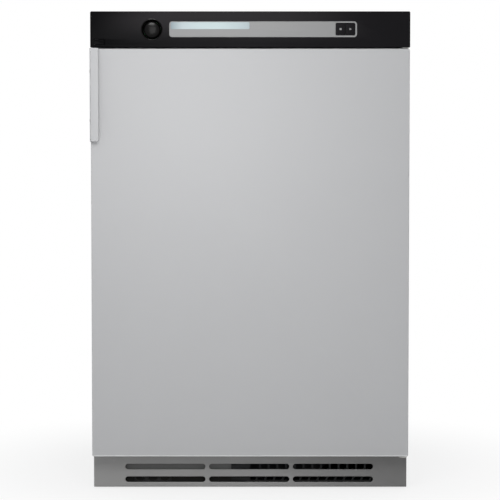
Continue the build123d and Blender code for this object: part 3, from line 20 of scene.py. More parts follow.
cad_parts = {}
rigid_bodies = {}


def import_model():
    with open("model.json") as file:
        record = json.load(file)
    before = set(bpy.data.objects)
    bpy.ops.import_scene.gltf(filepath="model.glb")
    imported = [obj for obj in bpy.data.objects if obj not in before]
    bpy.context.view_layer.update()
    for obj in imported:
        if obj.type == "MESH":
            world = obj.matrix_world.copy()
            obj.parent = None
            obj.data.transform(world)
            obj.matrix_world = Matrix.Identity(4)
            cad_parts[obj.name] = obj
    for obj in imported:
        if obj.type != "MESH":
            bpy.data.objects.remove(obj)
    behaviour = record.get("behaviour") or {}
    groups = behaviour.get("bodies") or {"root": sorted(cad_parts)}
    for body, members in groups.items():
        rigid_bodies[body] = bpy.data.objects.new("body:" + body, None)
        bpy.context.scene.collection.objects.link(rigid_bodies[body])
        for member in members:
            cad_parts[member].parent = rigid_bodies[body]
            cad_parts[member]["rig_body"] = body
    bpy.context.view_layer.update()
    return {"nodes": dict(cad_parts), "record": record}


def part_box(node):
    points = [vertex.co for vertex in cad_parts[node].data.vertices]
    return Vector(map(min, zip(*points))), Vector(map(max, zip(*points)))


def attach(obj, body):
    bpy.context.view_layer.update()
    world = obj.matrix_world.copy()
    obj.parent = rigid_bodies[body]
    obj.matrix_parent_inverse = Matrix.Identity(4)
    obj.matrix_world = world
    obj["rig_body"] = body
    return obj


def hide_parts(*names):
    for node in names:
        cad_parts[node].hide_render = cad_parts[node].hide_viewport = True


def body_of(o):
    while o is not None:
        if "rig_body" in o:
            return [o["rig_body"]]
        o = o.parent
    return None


LOG = logging.getLogger("dryer")

Point = tuple[float, float]
Outline = list[Point]
Rgb = tuple[int, int, int]

# The gap between two closed shells of one piece that would otherwise share an edge
SEAM = 0.00002
# Turns what lies flat to face -Y
UPRIGHT = Matrix.Rotation(math.radians(90), 4, "X")


# Shader and geometry trees


def maths(operation: str, swapped: bool = False) -> Callable[[Link, Any], Link]:
    """Returns a method that adds one Math node.

    Args:
        operation: The node's operation.
        swapped: Whether the method's own value comes second, as on the right of a number.

    Returns:
        The method.
    """

    def method(self: Link, other: Any) -> Link:
        """Returns the operation's result."""
        first, second = (other, self) if swapped else (self, other)
        return self.maker.add("ShaderNodeMath", {"operation": operation}, {0: first, 1: second})

    return method


class Link:
    """An output socket whose arithmetic adds Math nodes to its tree."""

    def __init__(self, maker: NodeMaker, socket: bpy.types.NodeSocket) -> None:
        """Keeps the socket and the maker of its tree."""
        self.maker = maker
        self.socket = socket

    __add__ = maths("ADD")
    __radd__ = maths("ADD", swapped=True)
    __sub__ = maths("SUBTRACT")
    __rsub__ = maths("SUBTRACT", swapped=True)
    __mul__ = maths("MULTIPLY")
    __truediv__ = maths("DIVIDE")
    __pow__ = maths("POWER")
    __mod__ = maths("FLOORED_MODULO")
    above = maths("GREATER_THAN")

    def between(self, low: float, high: float) -> Link:
        """Returns a smooth step from 0 at low to 1 at high."""
        return self.maker.add(
            "ShaderNodeMapRange", {"interpolation_type": "SMOOTHSTEP"}, {0: self, 1: low, 2: high}
        )


class NodeMaker:
    """Adds nodes to one tree."""

    def __init__(self, tree: bpy.types.NodeTree) -> None:
        """Keeps the tree."""
        self.tree = tree

    def add(
        self,
        kind: str,
        settings: Mapping[str, Any] | None = None,
        sockets: Mapping[int | str, Any] | None = None,
        output: int | str = 0,
    ) -> Link:
        """Adds one node.

        Args:
            kind: The node's type.
            settings: Its properties, and a ramp's stops as (place, colour) pairs under "stops".
            sockets: A value or a Link for each input, by name or index.
            output: The output to return, by name or index.

        Returns:
            The chosen output.
        """
        node = self.tree.nodes.new(kind)
        for name, value in (settings or {}).items():
            if name == "stops":
                self._set_stops(node.color_ramp, value)
            else:
                setattr(node, name, value)
        for key, value in (sockets or {}).items():
            if isinstance(value, Link):
                self.tree.links.new(value.socket, node.inputs[key])
            else:
                node.inputs[key].default_value = value
        return Link(self, node.outputs[output] if node.outputs else None)

    def _set_stops(self, ramp: bpy.types.ColorRamp, stops: Sequence[tuple[float, Any]]) -> None:
        """Gives a ramp its stops, from left to right."""
        while len(ramp.elements) < len(stops):
            ramp.elements.new(0.5)
        for element, (place, colour) in zip(ramp.elements, stops):
            element.position = place
            element.color = colour

    def mix(self, factor: Any, first: Any, second: Any) -> Link:
        """Returns a colour between two, the second where the factor is 1."""
        return self.add("ShaderNodeMix", {"data_type": "RGBA"}, {0: factor, 6: first, 7: second}, 2)

    def ramp(self, factor: Link, stops: Iterable[tuple[float, Rgb]]) -> Link:
        """Returns a colour from a ramp whose stops are display colours."""
        stops = [(place, linear(colour)) for place, colour in stops]
        return self.add("ShaderNodeValToRGB", {"stops": stops}, {0: factor})

    def split(self, vector: Link) -> tuple[Link, Link, Link]:
        """Returns a vector's three parts."""
        parts = self.add("ShaderNodeSeparateXYZ", None, {0: vector}).socket.node.outputs
        return tuple(Link(self, part) for part in parts)

    def join(self, x: Any, y: Any, z: Any) -> Link:
        """Returns a vector of three parts."""
        return self.add("ShaderNodeCombineXYZ", None, {0: x, 1: y, 2: z})

    def noise(self, place: Link, size: float, detail: float = 2.0) -> Link:
        """Returns noise from 0 to 1 whose features have a size in metres."""
        sockets = {"Vector": place, "Scale": 1 / size, "Detail": detail}
        return self.add("ShaderNodeTexNoise", None, sockets)

    def stretch(self, place: Link, factors: tuple[float, float, float]) -> Link:
        """Returns a vector with each part multiplied by its factor."""
        return self.add("ShaderNodeVectorMath", {"operation": "MULTIPLY"}, {0: place, 1: factors})

    def ring(self, resolution: int, radius: Link) -> Link:
        """Returns a circle as a curve."""
        sockets = {"Resolution": resolution, "Radius": radius}
        return self.add("GeometryNodeCurvePrimitiveCircle", None, sockets)

    def gather(self, *parts: Link) -> Link:
        """Returns several geometries as one."""
        joined = self.add("GeometryNodeJoinGeometry")
        for part in parts:
            self.tree.links.new(part.socket, joined.socket.node.inputs[0])
        return joined


def emptied(owner: bpy.types.Material | bpy.types.World) -> NodeMaker:
    """Returns the maker of a material's or a world's tree, once its first nodes are gone."""
    owner.use_nodes = True
    owner.node_tree.nodes.clear()
    return NodeMaker(owner.node_tree)


def linear(colour: Rgb, share: float = 1.0) -> tuple[float, float, float, float]:
    """Returns a display colour of 0 to 255 as linear light, scaled by a share."""
    lights = []
    for value in colour:
        part = value / 255
        lights.append(share * (part / 12.92 if part <= 0.04045 else ((part + 0.055) / 1.055) ** 2.4))
    return (*lights, 1.0)


# Finishes


@dataclass(frozen=True)
class Finish:
    """A surface, plain but for a slow change of tone and a fine relief.

    Attributes:
        slot: The record's material slot.
        colour: Display colour.
        roughness: Mean roughness.
        metallic: 1 for bare metal.
        coat: Weight of the clear coat.
        specular: Strength of the mirror reflection of a non-metal, 0.5 for common ones.
        sheen: Weight of the fibres' sheen.
        mottle: Share by which the colour changes.
        mottle_size: Size of the changes of tone.
        relief: Depth of the relief.
        relief_size: Size of the relief's features.
        variant: What tells the finish from another of the same slot.
    """

    slot: str
    colour: Rgb
    roughness: float = 0.5
    metallic: float = 0.0
    coat: float = 0.0
    specular: float = 0.5
    sheen: float = 0.0
    mottle: float = 0.04
    mottle_size: float = 0.15
    relief: float = 0.00002
    relief_size: float = 0.0015
    variant: str = "finish"

    def material(self) -> bpy.types.Material:
        """Returns the finish's material, made at the first call."""
        name = f"{self.slot}_{self.variant}"
        known = bpy.data.materials.get(name)
        if known is not None:
            return known
        material = bpy.data.materials.new(name)
        maker = emptied(material)
        place = maker.add("ShaderNodeTexCoord", None, None, "Object")
        tone = self.tone(maker, place)
        height = self.height(maker, place)
        relief = {"Strength": 1.0, "Distance": self.relief, "Height": height}
        shader = maker.add(
            "ShaderNodeBsdfPrincipled",
            None,
            {
                "Base Color": self.paint(maker, place, tone),
                "Roughness": self.gloss(maker, place, tone),
                "Metallic": self.metallic,
                "Coat Weight": self.coat,
                "Coat Roughness": 0.08,
                "Specular IOR Level": self.specular,
                "Sheen Weight": self.sheen,
                "Normal": maker.add("ShaderNodeBump", None, relief),
            },
        )
        maker.add("ShaderNodeOutputMaterial", None, {"Surface": shader})
        return material

    def tone(self, maker: NodeMaker, place: Link) -> Link:
        """Returns the change of tone, from 0 to 1."""
        return maker.noise(place, self.mottle_size, 3.0)

    def height(self, maker: NodeMaker, place: Link) -> Link:
        """Returns the relief's height, from 0 to 1."""
        return maker.noise(place, self.relief_size)

    def paint(self, maker: NodeMaker, place: Link, tone: Link) -> Link:
        """Returns the surface's colour."""
        darker, lighter = (linear(self.colour, 1 + side * self.mottle) for side in (-1, 1))
        return maker.mix(tone, darker, lighter)

    def gloss(self, maker: NodeMaker, place: Link, tone: Link) -> Link:
        """Returns the roughness, a little uneven."""
        return tone * 0.1 + (self.roughness - 0.05)


@dataclass(frozen=True)
class Enamel(Finish):
    """Sprayed paint on sheet steel, with orange peel, a trace of dust low down and a painted highlight
    along its lower hem.
    """

    dust: float = 0.06
    dust_height: float = 0.12
    dust_colour: Rgb = (150, 146, 138)
    # The height and colour of the painted highlight along the lower hem
    hem_height: float = 0.0
    hem_colour: Rgb = (228, 228, 228)

    def height(self, maker: NodeMaker, place: Link) -> Link:
        """Returns long and short waves of orange peel."""
        short, long = (maker.noise(place, self.relief_size * times) for times in (1, 6))
        return short * 0.7 + long * 0.3

    def paint(self, maker: NodeMaker, place: Link, tone: Link) -> Link:
        """Returns the paint, greyer towards the floor, with a painted highlight along the lower hem."""
        clean = super().paint(maker, place, tone)
        height = maker.split(place)[2]
        low = 1 - height.between(0.0, self.dust_height)
        dusty = maker.mix(low * self.dust, clean, linear(self.dust_colour))
        # Painted highlight: the lower hem made lighter, for light caught on the rolled edge
        painted_hem_highlight = 1 - height.above(self.hem_height)
        return maker.mix(painted_hem_highlight, dusty, linear(self.hem_colour))


@dataclass(frozen=True)
class Moulding(Finish):
    """Moulded plastic with a spark-eroded grain and faint flow marks."""

    def height(self, maker: NodeMaker, place: Link) -> Link:
        """Returns pits between rounded grains."""
        cells = maker.add(
            "ShaderNodeTexVoronoi",
            {"feature": "SMOOTH_F1"},
            {"Vector": place, "Scale": 1 / self.relief_size, "Smoothness": 0.6},
        )
        return cells * 0.8 + maker.noise(place, self.relief_size * 3) * 0.2


@dataclass(frozen=True)
class Fascia(Moulding):
    """The panel's black moulding, with a painted highlight at the top's middle and painted shade at the
    far left.

    Attributes:
        gate_colour: The colour of the painted highlight at the top's middle.
        deep_colour: The colour of the painted shade at the far left.
        clear: The x from which the painted shade fades, and where it is gone.
        bloom_left: The x from which the painted highlight grows, and where it is full.
        bloom_right: The x from which the painted highlight fades, and where it is gone.
        bloom_up: The heights between which the painted highlight grows.
    """

    gate_colour: Rgb = (47, 45, 47)
    deep_colour: Rgb = (15, 15, 16)
    clear: Point = (-0.32, 0.1)
    bloom_left: Point = (-0.31, -0.16)
    bloom_right: Point = (0.06, 0.24)
    bloom_up: Point = (0.838, 0.886)

    def paint(self, maker: NodeMaker, place: Link, tone: Link) -> Link:
        """Returns black with a painted highlight at the top's middle and painted shade at the far left.
        """
        x, _, z = maker.split(place)
        # Painted shade: deeper black towards the far left
        clear = x.between(*self.clear)
        across = maker.mix(clear, linear(self.deep_colour), super().paint(maker, place, tone))
        # Painted highlight: greyer about the top's middle
        highlight_span = x.between(*self.bloom_left) * (1 - x.between(*self.bloom_right))
        painted_highlight = highlight_span * z.between(*self.bloom_up)
        return maker.mix(painted_highlight, across, linear(self.gate_colour))


@dataclass(frozen=True)
class Skirting(Moulding):
    """The plinth's moulding, with painted shade deepening towards its right end."""

    # How far the painted shade darkens the right end, and the x over which it grows
    depth: float = 0.42
    fade: Point = (-0.06, 0.34)

    def paint(self, maker: NodeMaker, place: Link, tone: Link) -> Link:
        """Returns the grey, darkened by painted shade towards the right."""
        # Painted shade: mixed towards black to the right
        right = maker.split(place)[0].between(*self.fade)
        return maker.mix(right * self.depth, super().paint(maker, place, tone), linear((0, 0, 0)))


@dataclass(frozen=True)
class Dusty(Moulding):
    """Moulded plastic in an air intake, made dark below a height with painted shade."""

    # lint: the weight of the painted shade below the band; then the band's heights and the shade's
    # colour
    lint: float = 0.9
    lint_top: Point = (0.0255, 0.0295)
    lint_colour: Rgb = (20, 20, 20)

    def paint(self, maker: NodeMaker, place: Link, tone: Link) -> Link:
        """Returns the plastic's colour, and the painted shade below."""
        # Painted shade: near black below a height, for the dark under the machine behind the lower
        # slots
        low = 1 - maker.split(place)[2].between(*self.lint_top)
        return maker.mix(low * self.lint, super().paint(maker, place, tone), linear(self.lint_colour))


@dataclass(frozen=True)
class Galvanised(Finish):
    """Zinc-coated sheet with spangle."""

    def tone(self, maker: NodeMaker, place: Link) -> Link:
        """Returns one tone for each crystal."""
        size = self.mottle_size
        bend = maker.add("ShaderNodeTexNoise", None, {"Vector": place, "Scale": 3 / size}, "Color")
        sockets = {0: bend, 1: (size,) * 3, 2: place}
        bent = maker.add("ShaderNodeVectorMath", {"operation": "MULTIPLY_ADD"}, sockets)
        crystals = maker.add("ShaderNodeTexVoronoi", None, {"Vector": bent, "Scale": 1 / size}, "Color")
        return maker.split(crystals)[0]

    def gloss(self, maker: NodeMaker, place: Link, tone: Link) -> Link:
        """Returns a roughness that differs from crystal to crystal."""
        return tone * 0.2 + (self.roughness - 0.1)


class Lay(Enum):
    """The way in which brush marks run."""

    ALONG_Z = (1.0, 1.0, 0.01)
    ALONG_Y = (1.0, 0.01, 1.0)
    ROUND_DRUM = (0.0, 0.0, 0.0)


@dataclass(frozen=True)
class Brushed(Finish):
    """Ground or brushed metal."""

    lay: Lay = Lay.ALONG_Z
    axis_height: float = 0.5

    def strokes(self, maker: NodeMaker, place: Link) -> Link:
        """Returns coordinates drawn out along the brush marks."""
        if self.lay is not Lay.ROUND_DRUM:
            return maker.stretch(place, self.lay.value)
        x, y, z = maker.split(place)
        up = z - self.axis_height
        radius = (x * x + up * up) ** 0.5
        turn = maker.add("ShaderNodeMath", {"operation": "ARCTAN2"}, {0: up, 1: x})
        return maker.join(turn * 0.002, y, radius)

    def height(self, maker: NodeMaker, place: Link) -> Link:
        """Returns the brush marks."""
        return maker.noise(self.strokes(maker, place), self.relief_size, 4.0)

    def gloss(self, maker: NodeMaker, place: Link, tone: Link) -> Link:
        """Returns a roughness that follows the brush marks."""
        return self.height(maker, place) * 0.25 + tone * 0.08 + (self.roughness - 0.16)


@dataclass(frozen=True)
class Felt(Finish):
    """Pressed felt."""

    def height(self, maker: NodeMaker, place: Link) -> Link:
        """Returns crossing fibres."""
        stretched = [maker.stretch(place, lay) for lay in ((1.0, 0.15, 1.0), (0.15, 1.0, 0.6))]
        return sum(maker.noise(lay, self.relief_size, 5.0) for lay in stretched) * 0.5


@dataclass(frozen=True)
class Screen(Finish):
    """A fine woven screen, seen as threads over gaps painted dark with painted shade."""

    pitch: float = 0.0012
    thread: float = 0.45
    gap_colour: Rgb = (46, 47, 49)

    def threads(self, maker: NodeMaker, place: Link) -> Link:
        """Returns 1 on the threads."""
        x, _, z = maker.split(place)
        across, up = ((line / self.pitch % 1.0).above(self.thread) for line in (x, z))
        return 1 - across * up

    def height(self, maker: NodeMaker, place: Link) -> Link:
        """Returns the threads' height."""
        return self.threads(maker, place)

    def paint(self, maker: NodeMaker, place: Link, tone: Link) -> Link:
        """Returns the threads' colour over the painted shade of the gaps."""
        threads = self.threads(maker, place)
        # Painted shade: the gaps painted dark, for the shade behind the screen
        return maker.mix(threads, linear(self.gap_colour), super().paint(maker, place, tone))


@dataclass(frozen=True)
class HeatTint(Finish):
    """A heater's sheath, straw and blue where it has glowed."""

    bands: tuple[tuple[float, Rgb], ...] = (
        (0.3, (92, 84, 80)),
        (0.5, (132, 108, 76)),
        (0.7, (78, 80, 98)),
    )

    def paint(self, maker: NodeMaker, place: Link, tone: Link) -> Link:
        """Returns bands of temper colours."""
        return maker.ramp(tone, self.bands)


@dataclass(frozen=True)
class CircuitBoard(Finish):
    """Solder mask over copper tracks."""

    block: float = 0.03
    track: float = 0.08
    gap: float = 0.55
    copper: Rgb = (64, 122, 78)

    def tracks(self, maker: NodeMaker, place: Link) -> Link:
        """Returns 1 on the tracks."""
        x, _, z = maker.split(place)
        blocks = maker.add(
            "ShaderNodeTexVoronoi",
            {"distance": "CHEBYCHEV"},
            {"Vector": maker.join(x, 0.0, z), "Scale": 1 / self.block},
        )
        return (blocks / self.track % 1.0).above(self.gap)

    def height(self, maker: NodeMaker, place: Link) -> Link:
        """Returns the tracks' thickness."""
        return self.tracks(maker, place)

    def paint(self, maker: NodeMaker, place: Link, tone: Link) -> Link:
        """Returns green, lighter over the copper."""
        tracks = self.tracks(maker, place)
        return maker.mix(tracks, super().paint(maker, place, tone), linear(self.copper))


@dataclass(frozen=True)
class Display(Finish):
    """A pale liquid crystal display behind its window, with the faint grid of its dots.

    Attributes:
        dot: The dots' pitch.
        dot_gap: The share of the pitch between two dots.
        middle: The x about which it is lightest.
        spread: The distance to where the end colour is reached.
        middle_colour: The colour at the middle.
        end_colour: The colour at the end.
        grid: The weight of the grid between the dots.
        grid_colour: Its colour.
    """

    dot: float = 0.0009
    dot_gap: float = 0.12
    middle: float = -0.066
    spread: float = 0.085
    middle_colour: Rgb = (194, 211, 213)
    end_colour: Rgb = (132, 150, 158)
    grid: float = 0.06
    grid_colour: Rgb = (120, 136, 140)

    def paint(self, maker: NodeMaker, place: Link, tone: Link) -> Link:
        """Returns the pale field, coolest and lightest about its middle."""
        x, _, z = maker.split(place)
        away = ((x - self.middle) / self.spread) ** 2.0
        shades = ((0.0, self.middle_colour), (0.5, self.colour), (1.0, self.end_colour))
        pale = maker.ramp(away, shades)
        across, up = ((line / self.dot % 1.0).above(self.dot_gap) for line in (x, z))
        return maker.mix((1 - across * up) * self.grid, pale, linear(self.grid_colour))


FINISHES: tuple[Finish, ...] = (
    Enamel(
        "door_paint", (197, 197, 198), 0.42,
        specular=0.22, mottle=0.01, relief=0.00001, hem_height=0.0702,
    ),
    Enamel("cabinet_paint", (205, 206, 206), 0.48, specular=0.18, mottle=0.015, relief=0.000016),
    Galvanised("galvanised_sheet", (176, 179, 182), 0.42, 1.0, mottle=0.11, mottle_size=0.011),
    Brushed("zinc_fasteners", (186, 186, 182), 0.34, 1.0, relief=0.00001, relief_size=0.0004),
    Moulding(
        "mouth_plastic", (200, 201, 202), 0.48,
        mottle=0.015, relief=0.00004, relief_size=0.0007,
    ),
    Felt(
        "felt", (122, 120, 116), 0.95,
        sheen=0.5, mottle=0.12, mottle_size=0.01, relief=0.0004, relief_size=0.001,
    ),
    Brushed(
        "bearing_steel", (150, 150, 152), 0.3, 1.0,
        relief=0.000008, relief_size=0.0003, lay=Lay.ALONG_Y,
    ),
    Brushed(
        "drum_steel", (198, 198, 197), 0.27, 1.0,
        relief=0.000006, relief_size=0.0004, lay=Lay.ROUND_DRUM,
    ),
    Moulding(
        "dark_moulding", (40, 41, 42), 0.55,
        specular=0.15, mottle=0.08, relief=0.00004, relief_size=0.0008,
    ),
    Enamel("motor_casing", (58, 60, 64), 0.5, specular=0.3, mottle=0.06, relief=0.00004),
    Finish(
        "belt_rubber", (30, 30, 31), 0.75,
        mottle=0.15, mottle_size=0.01, relief=0.00005, relief_size=0.0006,
    ),
    HeatTint("heater_sheath", (100, 92, 88), 0.45, 1.0, mottle_size=0.05),
    Fascia(
        "panel_black", (29, 28, 30), 0.26,
        specular=0.015, mottle=0.06, relief=0.000008, relief_size=0.0005,
    ),
    Finish(
        "strip_silver", (154, 154, 154), 0.42,
        specular=0.2, mottle=0.01, relief=0.000008, relief_size=0.0004,
    ),
    Display(
        "display_glass", (188, 201, 205), 0.25,
        specular=0.3, relief=0.000002, relief_size=0.003,
    ),
    Finish("knob_black", (11, 10, 10), 0.26, specular=0.09, mottle=0.05, relief=0.000004),
    CircuitBoard("board_green", (38, 92, 52), 0.4, relief=0.00003),
    Skirting(
        "grey_moulding", (160, 159, 158), 0.5,
        specular=0.25, mottle=0.02, relief=0.00004, relief_size=0.0007,
    ),
    Finish("magnet_black", (58, 56, 56), 0.7, mottle=0.1, mottle_size=0.004),
    Brushed("catch_steel", (176, 177, 178), 0.3, 1.0, relief=0.000008, relief_size=0.0004),
    Finish(
        "seal_rubber", (84, 85, 87), 0.62,
        mottle=0.06, mottle_size=0.02, relief=0.00004, relief_size=0.0008,
    ),
    Moulding(
        "lifter_plastic", (188, 190, 193), 0.42,
        mottle=0.02, relief=0.00004, relief_size=0.0007,
    ),
    Finish(
        "foot_plastic", (44, 44, 45), 0.6,
        mottle=0.1, mottle_size=0.01, relief=0.00005, relief_size=0.0008,
    ),
)


# BLANK and INTAKE carry painted shade below a height
BLANK = Dusty("grey_moulding", (122, 122, 121), 0.55, specular=0.15, relief=0.00004, variant="blank")
SCREEN = Screen("dark_moulding", (128, 130, 132), 0.6, specular=0.2, relief=0.0002, variant="screen")
INTAKE = Dusty("dark_moulding", (40, 41, 42), 0.55, specular=0.15, relief=0.00004, variant="intake")
# The base tray painted near black: painted shade for the dark under the machine seen through the
# plinth's lower slots
SHADE_TRAY = Enamel("motor_casing", (24, 24, 25), 0.6, specular=0.04, relief=0.00003, variant="tray")


def finish_of(slot: str) -> Finish:
    """Returns the finish of one of the record's slots."""
    return next(finish for finish in FINISHES if finish.slot == slot)


# Shapes


def polar(centre: Point, radius: float, turn: float) -> Point:
    """Returns the point at a radius and a turn in radians about a centre."""
    return centre[0] + radius * math.cos(turn), centre[1] + radius * math.sin(turn)


def arc(centre: Point, radius: float, start: float, steps: int = 5) -> Outline:
    """Returns a quarter circle that turns to the left from a start angle in degrees."""
    return [polar(centre, radius, math.radians(start + 90 * step / steps)) for step in range(steps + 1)]


def circle(centre: Point, radius: float, steps: int = 48) -> Outline:
    """Returns the points of a circle, to the left round."""
    return [polar(centre, radius, math.tau * step / steps) for step in range(steps)]


def rounded_rectangle(low: Point, high: Point, radius: float, steps: int = 6) -> Outline:
    """Returns a rectangle with round corners.

    Args:
        low: Its lower left corner.
        high: Its upper right corner.
        radius: The corners' radius.
        steps: The number of runs in each corner.

    Returns:
        Its points, to the left round.
    """
    left, right = low[0] + radius, high[0] - radius
    bottom, top = low[1] + radius, high[1] - radius
    outline = []
    for quarter, centre in enumerate(((right, top), (left, top), (left, bottom), (right, bottom))):
        outline += arc(centre, radius, 90 * quarter, steps)
    return outline


def face_outline(low: Vector, high: Vector, radius: float, inset: float = 0.0) -> Outline:
    """Returns the front of a box as a rectangle with round corners, drawn in by an inset."""
    return rounded_rectangle((low.x + inset, low.z + inset), (high.x - inset, high.z - inset), radius)


def face_circle(low: Vector, high: Vector) -> tuple[Point, float]:
    """Returns the middle of a round box's front, and its radius."""
    return ((low.x + high.x) / 2, (low.z + high.z) / 2), (high.x - low.x) / 2


class Shape:
    """A mesh in the making, in the frame's metres."""

    def __init__(self) -> None:
        """Starts an empty mesh."""
        self.work = bmesh.new()

    def loft(self, loops: Sequence[Sequence[Vector]], capped: bool = True) -> Shape:
        """Joins closed loops of equally many points.

        Args:
            loops: The loops in order.
            capped: Whether the first and the last loop are closed with a face. A tube that closes on
                itself is left uncapped and ends with its first loop.

        Returns:
            The shape.
        """
        rings = [[self.work.verts.new(point) for point in loop] for loop in loops]
        count = len(rings[0])
        for first, second in zip(rings, rings[1:]):
            for i in range(count):
                j = (i + 1) % count
                self.work.faces.new((first[i], first[j], second[j], second[i]))
        if capped:
            self.work.faces.new(rings[0])
            self.work.faces.new(rings[-1])
        return self

    def stack(self, levels: Iterable[tuple[Outline, float]], capped: bool = True) -> Shape:
        """Joins outlines in (x, z), each at its own depth y."""
        return self.loft([[Vector((x, y, z)) for x, z in outline] for outline, y in levels], capped)

    def revolve(self, profile: Sequence[Point], centre: Point, steps: int = 96) -> Shape:
        """Turns a closed profile in (radius, y) about the line along Y through (x, z)."""

        def place(radius: float, y: float, turn: float) -> Vector:
            """Returns a point of the turned profile."""
            x, z = polar(centre, radius, turn)
            return Vector((x, y, z))

        return self.turned(profile, steps, place)

    def stand(self, profile: Sequence[Point], centre: Point, steps: int = 48) -> Shape:
        """Turns a closed profile in (radius, z) about the upright line through (x, y)."""

        def place(radius: float, z: float, turn: float) -> Vector:
            """Returns a point of the turned profile."""
            return Vector((*polar(centre, radius, turn), z))

        return self.turned(profile, steps, place)

    def turned(
        self, profile: Sequence[Point], steps: int, place: Callable[[float, float, float], Vector]
    ) -> Shape:
        """Turns a closed profile once round, each point placed by its radius, level and turn."""
        turns = (math.tau * step / steps for step in range(steps + 1))
        loops = [[place(radius, level, turn) for radius, level in profile] for turn in turns]
        return self.loft(loops, capped=False)

    def plate(self, outlines: Sequence[Outline], front: float, thickness: float, edge: float) -> Shape:
        """Adds an upright plate with rounded edges.

        Args:
            outlines: Its outline in (x, z), and those of its holes.
            front: The depth of its front face.
            thickness: Its thickness, back from there.
            edge: The radius of its edges.

        Returns:
            The shape.
        """
        curve = bpy.data.curves.new("plate", "CURVE")
        curve.dimensions = "2D"
        curve.fill_mode = "BOTH"
        curve.extrude = thickness / 2 - edge
        curve.bevel_depth = edge
        curve.bevel_resolution = 3
        curve.offset = -edge
        for outline in outlines:
            spline = curve.splines.new("POLY")
            spline.points.add(len(outline) - 1)
            spline.use_cyclic_u = True
            for point, (x, z) in zip(spline.points, outline):
                point.co = (x, z, 0, 1)
        self.take(bpy.data.objects.new("plate", curve), (0, front + thickness / 2, 0))
        bpy.data.curves.remove(curve)
        return self

    def take(self, flat: bpy.types.Object, place: tuple[float, float, float]) -> Shape:
        """Adds a flat object's evaluated mesh, turned to face -Y at a place, and removes the object."""
        mesh = evaluated_mesh(flat)
        mesh.transform(Matrix.Translation(place) @ UPRIGHT)
        self.work.from_mesh(mesh)
        bpy.data.meshes.remove(mesh)
        return self

    def copy_of(self, node: bpy.types.Object) -> Shape:
        """Adds a CAD node's mesh, with its flat faces made whole."""
        fresh = bmesh.new()
        fresh.from_mesh(node.data)
        bmesh.ops.remove_doubles(fresh, verts=fresh.verts, dist=0.5e-6)
        flat = math.radians(0.4)
        bmesh.ops.dissolve_limit(
            fresh, angle_limit=flat, verts=fresh.verts, edges=fresh.edges, delimit={"NORMAL"}
        )
        mesh = bpy.data.meshes.new("copy")
        fresh.to_mesh(mesh)
        fresh.free()
        self.work.from_mesh(mesh)
        bpy.data.meshes.remove(mesh)
        return self

    def piece(self, name: str, turned_right: bool = True) -> bpy.types.Object:
        """Returns the shape as an object at the origin.

        Args:
            name: The piece's name.
            turned_right: Whether doubles are merged and the faces turned outwards.

        Returns:
            The object.
        """
        if turned_right:
            bmesh.ops.remove_doubles(self.work, verts=self.work.verts, dist=1e-6)
            bmesh.ops.recalc_face_normals(self.work, faces=self.work.faces)
        mesh = bpy.data.meshes.new(name)
        self.work.to_mesh(mesh)
        self.work.free()
        return smooth(name, mesh, 34)


def linked(name: str, data: bpy.types.ID) -> bpy.types.Object:
    """Returns a new object of the scene that carries the data."""
    made = bpy.data.objects.new(name, data)
    bpy.context.scene.collection.objects.link(made)
    return made


def smooth(name: str, mesh: bpy.types.Mesh, crease: float = 40) -> bpy.types.Object:
    """Returns a mesh as an object, smooth but for edges past the crease's angle in degrees."""
    mesh.name = name
    mesh.shade_smooth()
    mesh.set_sharp_from_angle(angle=math.radians(crease))
    return linked(name, mesh)


def evaluated_mesh(source: bpy.types.Object) -> bpy.types.Mesh:
    """Returns an object's mesh with its modifiers applied, and removes the object."""
    collection = bpy.context.scene.collection
    if source.name not in collection.objects:
        collection.objects.link(source)
    graph = bpy.context.evaluated_depsgraph_get()
    mesh = bpy.data.meshes.new_from_object(source.evaluated_get(graph))
    bpy.data.objects.remove(source)
    return mesh


def bevelled(piece: bpy.types.Object, width: float) -> bpy.types.Object:
    """Returns the piece with its sharp edges rounded and the modifier applied."""
    modifier = piece.modifiers.new("edges", "BEVEL")
    modifier.width = width
    modifier.segments = 2
    modifier.limit_method = "ANGLE"
    modifier.angle_limit = math.radians(50)
    modifier.harden_normals = False
    return smooth(piece.name, evaluated_mesh(piece))


# Patterns made with Geometry Nodes


